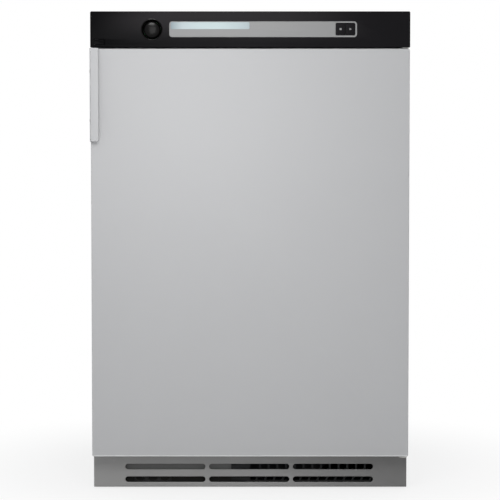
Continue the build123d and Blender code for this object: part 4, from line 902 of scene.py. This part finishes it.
class Pattern:
    """A Geometry Nodes tree and the way to run it."""

    inputs: tuple[tuple[str, str], ...] = ()

    def __init__(self) -> None:
        """Builds the tree, its sockets first."""
        self.tree = bpy.data.node_groups.new(type(self).__name__, "GeometryNodeTree")
        face = self.tree.interface
        self.keys = {}
        geometry = ("Geometry", "NodeSocketGeometry")
        for name, kind in (geometry, *self.inputs, ("Finish", "NodeSocketMaterial")):
            self.keys[name] = face.new_socket(name, in_out="INPUT", socket_type=kind).identifier
        face.new_socket(geometry[0], in_out="OUTPUT", socket_type=geometry[1])
        maker = NodeMaker(self.tree)
        entry = maker.add("NodeGroupInput").socket.node
        given = {socket.name: Link(maker, socket) for socket in entry.outputs if socket.name}
        real = maker.add("GeometryNodeRealizeInstances", None, {0: self.grow(maker, given)})
        sockets = {"Geometry": real, "Material": given["Finish"]}
        done = maker.add("GeometryNodeSetMaterial", None, sockets)
        maker.add("NodeGroupOutput", None, {0: done})

    def grow(self, maker: NodeMaker, given: Mapping[str, Link]) -> Link:
        """Returns the pattern's geometry from the tree's inputs."""
        raise NotImplementedError

    def run(
        self,
        name: str,
        points: Iterable[Sequence[float]],
        finish: Finish,
        edges: Iterable[tuple[int, int]] = (),
        **values: Any,
    ) -> bpy.types.Object:
        """Grows the pattern on points and returns it as a plain mesh object.

        Args:
            name: The piece's name.
            points: The places it grows from.
            finish: The surface that it gets.
            edges: Pairs of points that a line joins.
            **values: A value for each named input.

        Returns:
            The object, with no modifier.
        """
        mesh = bpy.data.meshes.new(name)
        mesh.from_pydata([tuple(point) for point in points], list(edges), [])
        carrier = bpy.data.objects.new(name + "_points", mesh)
        modifier = carrier.modifiers.new("pattern", "NODES")
        modifier.node_group = self.tree
        for key, value in {**values, "Finish": finish.material()}.items():
            modifier[self.keys[key.replace("_", " ").capitalize()]] = value
        return smooth(name, evaluated_mesh(carrier))


class Copies(Pattern):
    """Sets a copy of one unit at each point."""

    inputs = (("Unit", "NodeSocketObject"), ("Turn", "NodeSocketRotation"))

    def grow(self, maker: NodeMaker, given: Mapping[str, Link]) -> Link:
        """Returns the copies."""
        unit = maker.add("GeometryNodeObjectInfo", None, {"Object": given["Unit"]}, "Geometry")
        return maker.add(
            "GeometryNodeInstanceOnPoints",
            None,
            {"Points": given["Geometry"], "Instance": unit, "Rotation": given["Turn"]},
        )


class Bars(Pattern):
    """Sets a round bar along each line."""

    inputs = (("Radius", "NodeSocketFloat"),)

    def grow(self, maker: NodeMaker, given: Mapping[str, Link]) -> Link:
        """Returns the bars, closed at their ends."""
        path = maker.add("GeometryNodeMeshToCurve", None, {0: given["Geometry"]})
        sockets = {"Curve": path, "Profile Curve": maker.ring(10, given["Radius"]), "Fill Caps": True}
        return maker.add("GeometryNodeCurveToMesh", None, sockets)


class PiercedDisc(Pattern):
    """A flat disc about the origin with a round hole at each point."""

    inputs = (
        ("Rim radius", "NodeSocketFloat"),
        ("Hole radius", "NodeSocketFloat"),
        ("Thickness", "NodeSocketFloat"),
    )

    def grow(self, maker: NodeMaker, given: Mapping[str, Link]) -> Link:
        """Returns the disc."""
        rim = maker.ring(144, given["Rim radius"])
        hole = maker.ring(14, given["Hole radius"])
        sockets = {"Points": given["Geometry"], "Instance": hole}
        holes = maker.add("GeometryNodeInstanceOnPoints", None, sockets)
        real = maker.add("GeometryNodeRealizeInstances", None, {0: holes})
        flat = maker.add("GeometryNodeFillCurve", None, {0: maker.gather(rim, real)})
        sockets = {"Mesh": flat, "Offset Scale": given["Thickness"], "Individual": False}
        raised = maker.add("GeometryNodeExtrudeMesh", None, sockets)
        under = maker.add("GeometryNodeFlipFaces", None, {0: flat})
        sockets = {"Geometry": maker.gather(raised, under), "Distance": 1e-6}
        return maker.add("GeometryNodeMergeByDistance", None, sockets)


# Sub-assemblies


@dataclass
class Assembly:
    """A group of pieces.

    Attributes:
        nodes: The frame's CAD nodes by name.
        slots: The material slot of each CAD node.
        copies: The pattern that repeats small parts.
    """

    nodes: Mapping[str, bpy.types.Object]
    slots: Mapping[str, str]
    copies: Copies

    def build(self) -> None:
        """Builds the group's pieces and dresses its CAD nodes."""
        raise NotImplementedError

    def settle(
        self, piece: bpy.types.Object, node: str, finish: Finish | None = None, replaces: bool = True
    ) -> None:
        """Gives a piece its finish and body.

        Args:
            piece: The finished piece.
            node: The CAD node whose body and slot it takes.
            finish: Its finish, or the node's own.
            replaces: Whether it stands for that node.
        """
        chosen = finish or finish_of(self.slots[node])
        piece.data.materials.clear()
        piece.data.materials.append(chosen.material())
        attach(piece, body_of(self.nodes[node])[0])
        if replaces:
            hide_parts(node)
        LOG.info("%s: %d faces", piece.name, len(piece.data.polygons))

    def dress(self, node: str, name: str, width: float = 0.0, finish: Finish | None = None) -> None:
        """Shows a CAD node as a smooth copy, with its sharp edges rounded if it is given a width."""
        piece = Shape().copy_of(self.nodes[node]).piece(name, turned_right=False)
        self.settle(bevelled(piece, width) if width else piece, node, finish)

    def carry(self, *nodes: str) -> None:
        """Shows CAD nodes as smooth copies under their own finish."""
        for node in nodes:
            self.dress(node, node + "_smooth")

    def ease(self, width: float, *nodes: str) -> None:
        """Shows CAD nodes as copies whose sharp edges are rounded."""
        for node in nodes:
            self.dress(node, node + "_eased", width)

    def screws(
        self, name: str, node: str, places: Sequence[Vector], head: ScrewHead, turn: float
    ) -> None:
        """Sets screw heads at places, turned from facing -Y by degrees about Z."""
        unit = head.unit()
        turned = Vector((0, 0, math.radians(turn)))
        row = self.copies.run(name, places, finish_of(self.slots[node]), Unit=unit, Turn=turned)
        bpy.data.objects.remove(unit)
        self.settle(row, node)


@dataclass(frozen=True)
class ScrewHead:
    """A pan head with a cross recess, seen from -Y.

    Attributes:
        radius: The head's radius.
        height: Its height above the sheet.
        recess: Half the length of the cross.
        slot: Half the width of the cross.
    """

    radius: float
    height: float
    recess: float = 0.0022
    slot: float = 0.0005

    def unit(self) -> bpy.types.Object:
        """Returns one head at the origin."""
        rings = []
        count = 24
        cross_depth = self.height * 0.55
        for share, rise in ((1.0, 0.0), (1.0, 0.35), (0.94, 0.62), (0.8, 0.84), (0.62, 0.96)):
            rings.append((circle((0, 0), self.radius * share, count), -self.height * rise))
        rings.append((self._cross(1.0, count), -self.height))
        rings.append((self._cross(0.8, count), cross_depth - self.height))
        return Shape().stack(rings).piece("screw_head")

    def _cross(self, share: float, count: int) -> Outline:
        """Returns the recess's outline with one point for each of the head's."""
        points = []
        inner = self.slot * 1.6
        for step in range(count):
            turn = math.tau * step / count
            quarter = turn % (math.pi / 2)
            off_arm = abs(quarter - math.pi / 4) / (math.pi / 4)
            points.append(polar((0, 0), (inner + (self.recess - inner) * off_arm**6) * share, turn))
        return points


@dataclass
class Door(Assembly):
    """The door with its handle, liner, seal and screws."""

    sheet: float = 0.0012
    corner: float = 0.003
    least_corner: float = 0.0004
    edge: float = 0.0018
    flange_thickness: float = 0.004
    side_thickness: float = 0.0014
    handle_corner: float = 0.0045
    handle_edge: float = 0.0011
    flange_edge: float = 0.0006
    flange_inset: float = 0.0024
    grip_screw_radius: float = 0.0045
    grip_screw_drops: tuple[float, ...] = (0.041, 0.133)
    grip_screw_setback: float = 0.016
    liner_screw_radius: float = 0.0035
    liner_screw_pitch: float = 0.1527
    seal_width: float = 0.014

    def build(self) -> None:
        """Builds the door."""
        self.skin()
        self.handle()
        self.fasteners()
        self.seal()
        self.carry("door_inner_liner")
        self.ease(0.0004, "hinge_bushes", "catch_plate")

    def skin(self) -> None:
        """Presses the outer panel: a shallow shell with rolled edges."""
        low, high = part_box("door_outer_panel")
        levels = [
            (face_outline(low, high, max(self.corner - inset, self.least_corner), inset), y)
            for inset, y in self.rolled_edge(low.y, high.y)
        ]
        self.settle(Shape().stack(levels).piece("door_skin"), "door_outer_panel")

    def rolled_edge(self, front: float, back: float) -> list[Point]:
        """Returns the skin's section as (inset, y), from the inner face round the rim to the front."""
        centre = (self.edge, front + self.edge)
        inside, outside = (arc(centre, radius, 180) for radius in (self.edge - self.sheet, self.edge))
        return [*reversed(inside), (self.sheet, back), (0.0, back), *outside]

    def handle(self) -> None:
        """Builds the handle: a flange along the front and a joggled plate on the door's edge."""
        low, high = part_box("door_handle")
        left = low.x + self.flange_inset
        right = high.x + self.flange_inset / 4
        flange = rounded_rectangle((left, low.z), (right, high.z), self.handle_corner)
        top = [(x, z if z < high.z - self.handle_corner else high.z) for x, z in flange]
        shape = Shape().plate([top], low.y, self.flange_thickness, self.flange_edge)
        edge = low.x + self.side_thickness
        outer = left - self.side_thickness
        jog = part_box("door_outer_panel")[0].y - self.handle_edge
        behind = low.y + self.flange_thickness - self.handle_edge
        plan = [
            (low.x, high.y),
            (low.x, jog),
            (outer, jog - self.handle_edge),
            (outer, behind),
            (outer + self.handle_edge / 2, behind - self.handle_edge),
            (left + self.handle_edge, behind),
            (left, jog - self.handle_edge),
            (edge, jog),
            (edge, high.y),
        ]
        rounding = self.handle_corner / 3
        front = behind - self.handle_edge
        loops = [
            [Vector((x, y + cut if y == front else y, low.z + rise)) for x, y in plan]
            for rise, cut in ((0.0, rounding), (rounding * 0.3, rounding * 0.3), (rounding, 0.0))
        ]
        loops.append([Vector((x, y, high.z)) for x, y in plan])
        shape.loft(loops)
        self.settle(shape.piece("door_grip"), "door_handle")

    def fasteners(self) -> None:
        """Sets the handle's two screws and the liner's rows."""
        low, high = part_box("door_screws")
        grip_low, grip_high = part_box("door_handle")
        head = ScrewHead(self.grip_screw_radius, grip_low.x - low.x)
        middle_y = (grip_low.y + self.grip_screw_setback + grip_high.y) / 2
        places = [Vector((grip_low.x, middle_y, grip_high.z - drop)) for drop in self.grip_screw_drops]
        self.screws("handle_screws", "door_screws", places, head, -90)
        height = high.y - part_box("door_inner_liner")[1].y
        small = ScrewHead(self.liner_screw_radius, height, recess=0.0018, slot=0.0004)
        rows = [low.z + small.radius + self.liner_screw_pitch * row for row in range(5)]
        columns = (small.radius - high.x, high.x - small.radius)
        places = [Vector((x, high.y - small.height, z)) for x in columns for z in rows]
        self.screws("liner_screws", "door_screws", places, small, 180)

    def seal(self) -> None:
        """Turns the seal: a foot, a neck and a soft lip."""
        low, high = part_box("door_seal")
        centre, outer = face_circle(low, high)
        depth = high.y - low.y
        half = [
            (0.0, low.y + depth * 0.35),
            (0.0025, low.y + depth * 0.5),
            (0.0012, high.y),
            (0.0032, high.y - depth * 0.08),
            (0.0055, low.y + depth * 0.55),
        ]
        inner = outer - self.seal_width
        profile = [(inner, low.y), (outer, low.y)]
        profile += [(outer - inset, y) for inset, y in half]
        profile += [(inner + inset, y) for inset, y in reversed(half)]
        self.settle(Shape().revolve(profile, centre, 144).piece("door_gasket"), "door_seal")


@dataclass
class ControlPanel(Assembly):
    """The control panel, its display strip, keys and main switch, and the board behind them."""

    corner: float = 0.0028
    foot_corner: float = 0.001
    skirt: float = 0.0016
    edge: float = 0.0009
    wall: float = 0.0025
    front_plate: float = 0.0035
    strip_corner: float = 0.0055
    strip_thickness: float = 0.0023
    pad_radius: float = 0.0026
    window_radius: float = 0.0022
    well_radius: float = 0.0196
    slack: float = 0.0004
    switch_corner: float = 0.0012
    inner_corner: float = 0.0005
    skirt_depth: float = 0.006
    glass_thickness: float = 0.0022
    glass_flange: float = 0.00137
    key_height: float = 0.0225
    key_thickness: float = 0.005
    key_flange: float = 0.0015
    field_edge: float = 0.0002
    square_half: float = 0.0019
    triangle_half: float = 0.0022

    def build(self) -> None:
        """Builds the panel."""
        self.shell()
        self.strip()
        self.window()
        self.keys()
        self.main_switch()
        self.carry("control_board", "main_switch_body")

    def shell(self) -> None:
        """Moulds the panel: a rounded front with its openings and a deep rim behind it."""
        low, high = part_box("control_panel")
        outside = self.outline((low.x, low.z - self.skirt), (high.x, high.z))
        strip_low, strip_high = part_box("display_strip")
        recess = face_outline(strip_low, strip_high, self.strip_corner)
        knob_low, knob_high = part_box("knob_ring")
        well = circle(face_circle(knob_low, knob_high)[0], self.well_radius)
        key_low, key_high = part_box("main_switch_button")
        key = face_outline(key_low, key_high, 0.0015, -self.slack)
        shape = Shape().plate([outside, recess, well, key], low.y, self.front_plate, self.edge)
        inside = face_outline(low, high, self.inner_corner, self.wall)
        start = low.y + self.front_plate - self.edge + SEAM
        raised = [(x, max(z, low.z)) for x, z in outside]
        deep = start + self.skirt_depth
        rim = [(outside, start), (outside, deep), (raised, deep), (raised, high.y)]
        rim += [(inside, high.y), (inside, start), (outside, start)]
        self.settle(shape.stack(rim, capped=False).piece("panel_shell"), "control_panel")

    def outline(self, low: Point, high: Point) -> Outline:
        """Returns the panel's outline, rounder above than below."""
        below = rounded_rectangle(low, high, self.foot_corner)
        above = rounded_rectangle(low, high, self.corner)
        half = len(above) // 2
        return [*above[:half], *below[half:]]

    def pad(self) -> tuple[Point, Point]:
        """Returns the corners of the field that the two keys fill."""
        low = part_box("stop_button")[0]
        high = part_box("start_button")[1]
        return (low.x, low.z), (high.x, high.z)

    def strip(self) -> None:
        """Cuts the display strip with its window and its opening for the keys."""
        low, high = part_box("display_strip")
        outline = face_outline(low, high, self.strip_corner)
        (left, bottom), (right, top) = self.pad()
        gap = self.field_edge
        keys = rounded_rectangle((left - gap, bottom + gap), (right + gap, top - gap), self.pad_radius)
        shape = Shape().plate([outline, self.glass(), keys], low.y, self.strip_thickness, 0.0004)
        self.settle(shape.piece("strip_face"), "display_strip")

    def glass(self) -> Outline:
        """Returns the window's outline, inside its flange."""
        low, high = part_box("display_window")
        return face_outline(low, high, self.window_radius, self.glass_flange)

    def window(self) -> None:
        """Sets the display's window in the strip, on its flange."""
        low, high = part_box("display_window")
        rounding = 0.0002
        shape = Shape().plate([self.glass()], low.y, self.glass_thickness, rounding)
        front = self.glass_thickness - 0.0001
        flange = face_outline(low, high, self.window_radius)
        shape.plate([flange], low.y + front, high.y - low.y - front, rounding)
        self.settle(shape.piece("display_pane"), "display_window")

    def keys(self) -> None:
        """Moulds the stop and start keys, each with its printed sign."""
        for name, sign in (("stop", self.square_sign), ("start", self.triangle_sign)):
            node = name + "_button"
            low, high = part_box(node)
            trim = (high.z - low.z - self.key_height) / 2
            outline = rounded_rectangle((low.x, low.z + trim), (high.x, high.z - trim), self.pad_radius)
            outer, inner = (-1, high.x) if name == "stop" else (1, low.x)
            middle = (low.x + high.x) / 2
            squared = [(x if (x - middle) * outer > 0 else inner, z) for x, z in outline]
            shape = Shape().plate([squared], low.y, self.key_thickness, 0.0005)
            flange = face_outline(low, high, self.inner_corner)
            shape.plate([flange], high.y - self.key_flange, self.key_flange, 0.0002)
            self.settle(shape.piece(name + "_key"), node)
            mark = Shape().plate([sign(middle, (low.z + high.z) / 2)], low.y - 0.00004, 0.0002, 0.00001)
            self.settle(mark.piece(name + "_sign"), node, finish_of("strip_silver"), replaces=False)

    def square_sign(self, x: float, z: float) -> Outline:
        """Returns a square round a point."""
        half = self.square_half
        return [(x + half, z - half), (x + half, z + half), (x - half, z + half), (x - half, z - half)]

    def triangle_sign(self, x: float, z: float) -> Outline:
        """Returns a triangle that points right round a point."""
        half = self.triangle_half
        return [(x - half * 0.8, z - half), (x + half, z), (x - half * 0.8, z + half)]

    def main_switch(self) -> None:
        """Moulds the main switch's key with a finger hollow."""
        low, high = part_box("main_switch_button")
        rise, dish = 0.0005, 0.0006
        section = [(0.0, high.y), (0.0, low.y + rise), (0.0004, low.y)]
        section += [(0.0012, low.y), (0.0026, low.y + dish)]
        levels = [(face_outline(low, high, self.switch_corner, inset), y) for inset, y in section]
        self.settle(Shape().stack(levels).piece("main_switch_key"), "main_switch_button")


@dataclass
class Selector(Assembly):
    """The selector's ring, cap and shaft."""

    dome: float = 0.003
    dome_share: float = 0.86
    dome_steps: int = 12
    wall: float = 0.0018
    side_round: float = 0.0012
    throat: float = 0.0166
    socket: float = 0.00305
    socket_wall: float = 0.006
    socket_roof: float = 0.003

    def build(self) -> None:
        """Builds the selector."""
        self.cap()
        self.ring()
        self.carry("knob_shaft")

    def cap(self) -> None:
        """Turns the domed cap."""
        low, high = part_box("knob_cap")
        centre, radius = face_circle(low, high)
        profile = [(0.0, low.y)]
        fall = 1 - math.sqrt(1 - self.dome_share**2)
        for step in range(1, self.dome_steps + 1):
            share = step / self.dome_steps
            drop = self.dome * (1 - math.sqrt(1 - (self.dome_share * share) ** 2)) / fall
            profile.append(((radius - self.side_round) * share, low.y + drop))
        rim = profile[-1][1]
        roof = rim + 2 * self.wall
        socket_end = low.y + self.socket_roof
        profile += [(radius - self.side_round * 0.3, rim + self.side_round * 0.45)]
        inner = radius - self.wall
        profile += [(radius, rim + self.side_round * 1.2), (radius, high.y), (inner, high.y)]
        profile += [(inner, roof), (self.socket_wall, roof), (self.socket_wall, high.y)]
        profile += [(self.socket, high.y), (self.socket, socket_end), (0.0, socket_end)]
        self.settle(Shape().revolve(profile, centre).piece("selector_cap"), "knob_cap")

    def ring(self) -> None:
        """Turns the well that the cap stands in: a low crest and a deep, dark throat."""
        low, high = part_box("knob_ring")
        centre, radius = face_circle(low, high)
        face = low.y + 0.0008
        profile = [
            (radius, face),
            (radius, face - 0.0003),
            (radius - 0.0002, face - 0.0004),
            (radius - 0.0012, low.y),
            (radius - 0.0015, low.y + 0.0001),
            (radius - 0.0018, face),
            (self.throat + 0.0012, face + 0.005),
            (self.throat, face + 0.0065),
            (self.throat, high.y),
            (radius - 0.0008, high.y),
            (radius - 0.0008, face),
        ]
        self.settle(Shape().revolve(profile, centre).piece("selector_well"), "knob_ring")


@dataclass
class Plinth(Assembly):
    """The plinth, and the grille and plate that show through its slots."""

    slot_length: float = 0.1525
    slot_height: float = 0.0105
    slot_pitch: float = 0.1595
    slot_rows: tuple[float, float] = (0.0176, 0.0419)
    slot_offset: float = -0.002
    wall: float = 0.0025
    edge: float = 0.0012
    corner: float = 0.0013
    inner_corner: float = 0.0005

    def build(self) -> None:
        """Builds the plinth."""
        self.face()
        self.dress("intake_grille", "intake_ribs", 0.0003, INTAKE)
        self.dress("blanking_plate", "blank_plate", 0.0004, BLANK)

    def face(self) -> None:
        """Moulds the plinth with its six slots and a rim behind."""
        low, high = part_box("plinth_panel")
        outside = face_outline(low, high, self.corner)
        slots = []
        along, up = self.slot_length / 2, self.slot_height / 2
        for z in self.slot_rows:
            for column in (-1, 0, 1):
                x = self.slot_offset + column * self.slot_pitch
                slots.append(rounded_rectangle((x - along, z - up), (x + along, z + up), up * 0.999, 9))
        shape = Shape().plate([outside, *slots], low.y, self.wall, self.edge)
        inside = face_outline(low, high, self.inner_corner, self.wall)
        start = low.y + self.wall - self.edge + SEAM
        rim = [(outside, start), (outside, high.y), (inside, high.y), (inside, start), (outside, start)]
        self.settle(shape.stack(rim, capped=False).piece("plinth_face"), "plinth_panel")


@dataclass
class Casing(Assembly):
    """The cabinet's sheets, feet, hinges and what shows at its back."""

    screw_radius: float = 0.004
    screw_rows: int = 4
    pad: float = 0.006
    pad_round: float = 0.002
    nut_radius: float = 0.009
    nut_rise: float = 0.0035
    stem_radius: float = 0.005
    stem_steps: int = 24
    thread_pitch: float = 0.0015
    thread_depth: float = 0.0009

    def build(self) -> None:
        """Builds the casing."""
        self.carry("side_panel_left", "side_panel_right", "top_lid", "front_bulkhead")
        self.dress("base_tray", "base_tray_smooth", finish=SHADE_TRAY)
        self.carry("rear_bulkhead", "cross_rails", "exhaust_duct", "back_panel")
        self.ease(0.0004, "hinge_brackets", "catch_magnet", "mains_inlet")
        self.back_screws()
        for corner in ("front_left", "front_right", "back_left", "back_right"):
            self.foot("foot_" + corner)

    def back_screws(self) -> None:
        """Sets the screws round the back panel."""
        low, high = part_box("casing_screws")
        radius = self.screw_radius
        reach = high.z - low.z - 2 * radius
        rows = [low.z + radius + reach * row / (self.screw_rows - 1) for row in range(self.screw_rows)]
        places = [Vector((x, low.y, z)) for x in (low.x + radius, high.x - radius) for z in rows]
        self.screws("back_screws", "casing_screws", places, ScrewHead(radius, high.y - low.y), 180)

    def foot(self, node: str) -> None:
        """Builds a foot: a pad, a nut and a threaded stem."""
        low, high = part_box(node)
        centre = ((low.x + high.x) / 2, (low.y + high.y) / 2)
        radius = (high.x - low.x) / 2
        top, rounding = self.pad, self.pad_round
        profile = [(0.0, low.z), (radius - 0.001, low.z), (radius, low.z + 0.001)]
        profile += [(radius, top - rounding)]
        profile += [*arc((radius - rounding, top - rounding), rounding, 0, 4), (0.0, top)]
        shape = Shape().stand(profile, centre)
        nut = circle(centre, self.nut_radius, 6)
        shape.loft([[Vector((x, y, z)) for x, y in nut] for z in (top - 0.0005, top + self.nut_rise)])
        shape.loft(self.thread(centre, top + 0.003, high.z))
        self.settle(shape.piece(node + "_screw"), node)

    def thread(self, centre: Point, start: float, end: float) -> list[list[Vector]]:
        """Returns the loops of a threaded stem between two heights."""
        levels = int((end - start) / (self.thread_pitch / 5))
        loops = []
        for level in range(levels + 1):
            z = start + (end - start) * level / levels
            loop = []
            for step in range(self.stem_steps):
                share = step / self.stem_steps
                phase = ((z - start) / self.thread_pitch - share) % 1.0
                radius = self.stem_radius - self.thread_depth * abs(2 * phase - 1)
                loop.append(Vector((*polar(centre, radius, math.tau * share), z)))
            loops.append(loop)
        return loops


@dataclass
class Drum(Assembly):
    """The drum, the mouth that it opens to and the rollers that carry it."""

    sheet: float = 0.001
    bead_depth: float = 0.0035
    bead_half: float = 0.007
    bead_inset: float = 0.055
    bead_steps: int = 6
    ring_radii: tuple[float, ...] = (0.066, 0.079, 0.092, 0.105, 0.118, 0.131, 0.144)
    hole_pitch: float = 0.0135
    hole: float = 0.0034
    filter_rim: float = 0.008
    filter_arc: float = 0.2037
    bar_radius: float = 0.0011
    bar_proud: float = 0.00034
    screen_proud: float = 0.00005
    bar_columns: tuple[float, ...] = (-0.06, -0.03, 0.0, 0.03, 0.06)
    bar_rows: tuple[float, ...] = (0.03, 0.06, 0.09)

    def build(self) -> None:
        """Builds the drum."""
        self.shell()
        self.back()
        self.carry("mouth_ring", "drum_seals", "rear_bearing", "drum_shaft", "roller_axles")
        self.carry("support_roller_left", "support_roller_right", "lint_filter")
        self.filter_screen()
        self.ease(0.003, "drum_lifters")

    def shell(self) -> None:
        """Rolls the shell with its beads."""
        low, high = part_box("drum_shell")
        centre = (0.0, (low.z + high.z) / 2)
        radius = (high.x - low.x) / 2
        wave: list[Point] = [(0.0, low.y)]
        for middle in (low.y + self.bead_inset, high.y - self.bead_inset):
            for step in range(-self.bead_steps, self.bead_steps + 1):
                offset = step / self.bead_steps
                dip = self.bead_depth * (1 + math.cos(math.pi * offset)) / 2
                wave.append((dip, middle + offset * self.bead_half))
        wave.append((0.0, high.y))
        outer = [(radius - dip, y) for dip, y in wave]
        inner = [(radius - self.sheet - dip, y) for dip, y in reversed(wave)]
        self.settle(Shape().revolve([*outer, *inner], centre, 192).piece("drum_wall"), "drum_shell")

    def filter_screen(self) -> None:
        """Stretches the lint filter's screen over its front and moulds the bars that hold it."""
        low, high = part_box("lint_filter")
        axis_height = sum(corner.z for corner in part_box("drum_shell")) / 2
        left, right, foot = low.x + self.filter_rim, high.x - self.filter_rim, low.z + self.filter_rim

        def crown(x: float) -> Point:
            """Returns the point of the filter's curved upper edge at x."""
            return x, axis_height - math.sqrt(self.filter_arc**2 - x * x)

        steps = 24
        top = [crown(right + (left - right) * step / steps) for step in range(steps + 1)]
        outline = [(left, foot), (right, foot), *top]
        shape = Shape().plate([outline], low.y - self.screen_proud, 0.0006, 0.00004)
        self.settle(shape.piece("filter_screen"), "lint_filter", SCREEN, replaces=False)
        lines = [((x, foot), crown(x)) for x in self.bar_columns]
        lines += [((left, foot + rise), (right, foot + rise)) for rise in self.bar_rows]
        y = low.y + self.bar_radius - self.bar_proud
        ends = [(x, y, z) for line in lines for x, z in line]
        pairs = [(first, first + 1) for first in range(0, len(ends), 2)]
        finish = finish_of("mouth_plastic")
        bars = Bars().run("filter_bars", ends, finish, pairs, radius=self.bar_radius)
        self.settle(bars, "lint_filter", replaces=False)

    def back(self) -> None:
        """Pierces the drum's back and adds the rim that joins it to the shell."""
        low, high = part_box("drum_back")
        centre_z = (low.z + high.z) / 2
        radius = (high.x - low.x) / 2
        points = []
        for ring in self.ring_radii:
            count = round(math.tau * ring / self.hole_pitch)
            points += [(x, z, 0.0) for x, z in circle((0, 0), ring, count)]
        disc = PiercedDisc().run(
            "pierced_disc",
            points,
            finish_of("drum_steel"),
            rim_radius=radius - self.sheet / 2,
            hole_radius=self.hole,
            thickness=self.sheet,
        )
        shape = Shape().take(disc, (0, high.y, centre_z))
        inside = radius - self.sheet
        rim = [(inside, low.y), (radius, low.y), (radius, high.y), (inside, high.y)]
        shape.revolve(rim, (0.0, centre_z), 144)
        self.settle(shape.piece("drum_back_disc"), "drum_back")


@dataclass
class Works(Assembly):
    """The motor, belt, blower and ducts inside the cabinet."""

    def build(self) -> None:
        """Dresses the works."""
        self.carry("motor_housing", "motor_shaft", "idler_arm", "idler_pulley", "idler_spring")
        self.carry("drive_belt", "blower_housing", "blower_wheel", "front_duct")
        self.carry("heater_duct", "heater_element")


@dataclass(frozen=True)
class Studio:
    """The floor, the lamps, the world and the camera.

    Attributes:
        focal_length: In millimetres, for a sensor 36 mm wide.
        camera_place: Where the camera stands.
        pitch: How far it looks down, in degrees.
        target: The middle of the machine, where the lamps point.
        reach: Half the floor's width.
        paleness: The floor's diffuse shade.
        world_strength: The strength of the world's light.
    """

    focal_length: float = 115.68
    camera_place: tuple[float, float, float] = (-0.0004, -3.3, 0.5867)
    pitch: float = 2.49
    target: tuple[float, float, float] = (0.0, 0.0, 0.45)
    reach: float = 12.0
    paleness: float = 0.86
    world_strength: float = 0.43

    def build(self) -> None:
        """Builds the studio."""
        self.camera()
        self.floor()
        self.world()
        self.lamp("key", (-0.14, -1.2, 0.88), (0.5, 0.6), 4.95)
        self.lamp("glint", (-0.26, -1.6, 2.1), (0.9, 0.6), 40.0).visible_diffuse = False
        self.lamp("top", (0.2, 0.6, 3.0), (2.0, 2.0), 12.5)
        self.lamp("rear", (0.8, 3.0, 1.9), (1.8, 1.8), 15.0)

    def camera(self) -> None:
        """Sets the camera."""
        data = bpy.data.cameras.new("camera")
        data.lens = self.focal_length
        data.sensor_width = 36.0
        camera = linked("camera", data)
        camera.location = self.camera_place
        camera.rotation_euler = (math.radians(90 - self.pitch), 0, 0)
        bpy.context.scene.camera = camera

    def lamp(
        self, name: str, place: tuple[float, float, float], size: tuple[float, float], power: float
    ) -> bpy.types.Object:
        """Hangs a soft lamp that points at the middle of the machine, and returns it."""
        data = bpy.data.lights.new(name, "AREA")
        data.shape = "RECTANGLE"
        data.size, data.size_y = size
        data.energy = power
        lamp = linked(name, data)
        lamp.location = place
        aim = Vector(self.target) - Vector(place)
        lamp.rotation_euler = aim.to_track_quat("-Z", "Y").to_euler()
        return lamp

    def seen(self, maker: NodeMaker) -> Link:
        """Returns 1 for rays that show the background itself, in a view, a mirror or a pane."""
        rays = maker.add("ShaderNodeLightPath").socket.node.outputs
        camera, glossy, through = (
            Link(maker, rays[f"Is {kind} Ray"]) for kind in ("Camera", "Glossy", "Transmission")
        )
        clamped = {"operation": "ADD", "use_clamp": True}
        return maker.add("ShaderNodeMath", clamped, {0: camera + glossy, 1: through})

    def floor(self) -> None:
        """Lays a pale floor that fades to white away from the machine."""
        mesh = bpy.data.meshes.new("floor")
        corners = [(x * self.reach, y * self.reach, 0) for x, y in ((-1, -1), (1, -1), (1, 1), (-1, 1))]
        mesh.from_pydata(corners, [], [(0, 1, 2, 3)])
        floor = linked("floor", mesh)
        material = bpy.data.materials.new("floor")
        maker = emptied(material)
        x, y, _ = maker.split(maker.add("ShaderNodeTexCoord", None, None, "Object"))
        away = ((x * x + y * y) ** 0.5).between(0.3, 0.8) * 0.2 + 0.8
        shade = (*(self.paleness,) * 3, 1.0)
        matt = maker.add("ShaderNodeBsdfDiffuse", None, {"Color": shade})
        bright = maker.add("ShaderNodeEmission", None, {"Color": (1, 1, 1, 1), "Strength": 1.0})
        pale = self.seen(maker) * away
        shader = maker.add("ShaderNodeMixShader", None, {0: pale, 1: matt, 2: bright})
        maker.add("ShaderNodeOutputMaterial", None, {"Surface": shader})
        mesh.materials.append(material)

    def world(self) -> None:
        """Gives the world a soft level, and white where it is seen."""
        world = bpy.data.worlds.new("studio")
        maker = emptied(world)
        dim = {"Color": (0.96, 0.98, 1.0, 1), "Strength": self.world_strength}
        soft = maker.add("ShaderNodeBackground", None, dim)
        white = maker.add("ShaderNodeBackground", None, {"Color": (1, 1, 1, 1), "Strength": 1.0})
        shader = maker.add("ShaderNodeMixShader", None, {0: self.seen(maker), 1: soft, 2: white})
        maker.add("ShaderNodeOutputWorld", None, {"Surface": shader})
        bpy.context.scene.world = world


def main() -> None:
    """Builds the whole scene on the frame."""
    logging.basicConfig(level=logging.INFO, format="%(message)s")
    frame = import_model()
    slots = {row["node"]: row["material_slot"] for row in frame["record"]["subparts"]}
    for node, cad in frame["nodes"].items():
        cad.data.materials.clear()
        cad.data.materials.append(finish_of(slots[node]).material())
    copies = Copies()
    for group in (Door, ControlPanel, Selector, Plinth, Casing, Drum, Works):
        LOG.info("building %s", group.__name__)
        group(frame["nodes"], slots, copies).build()
    Studio().build()
    bpy.context.scene.view_settings.view_transform = "Standard"


if __name__ == "__main__":
    main()
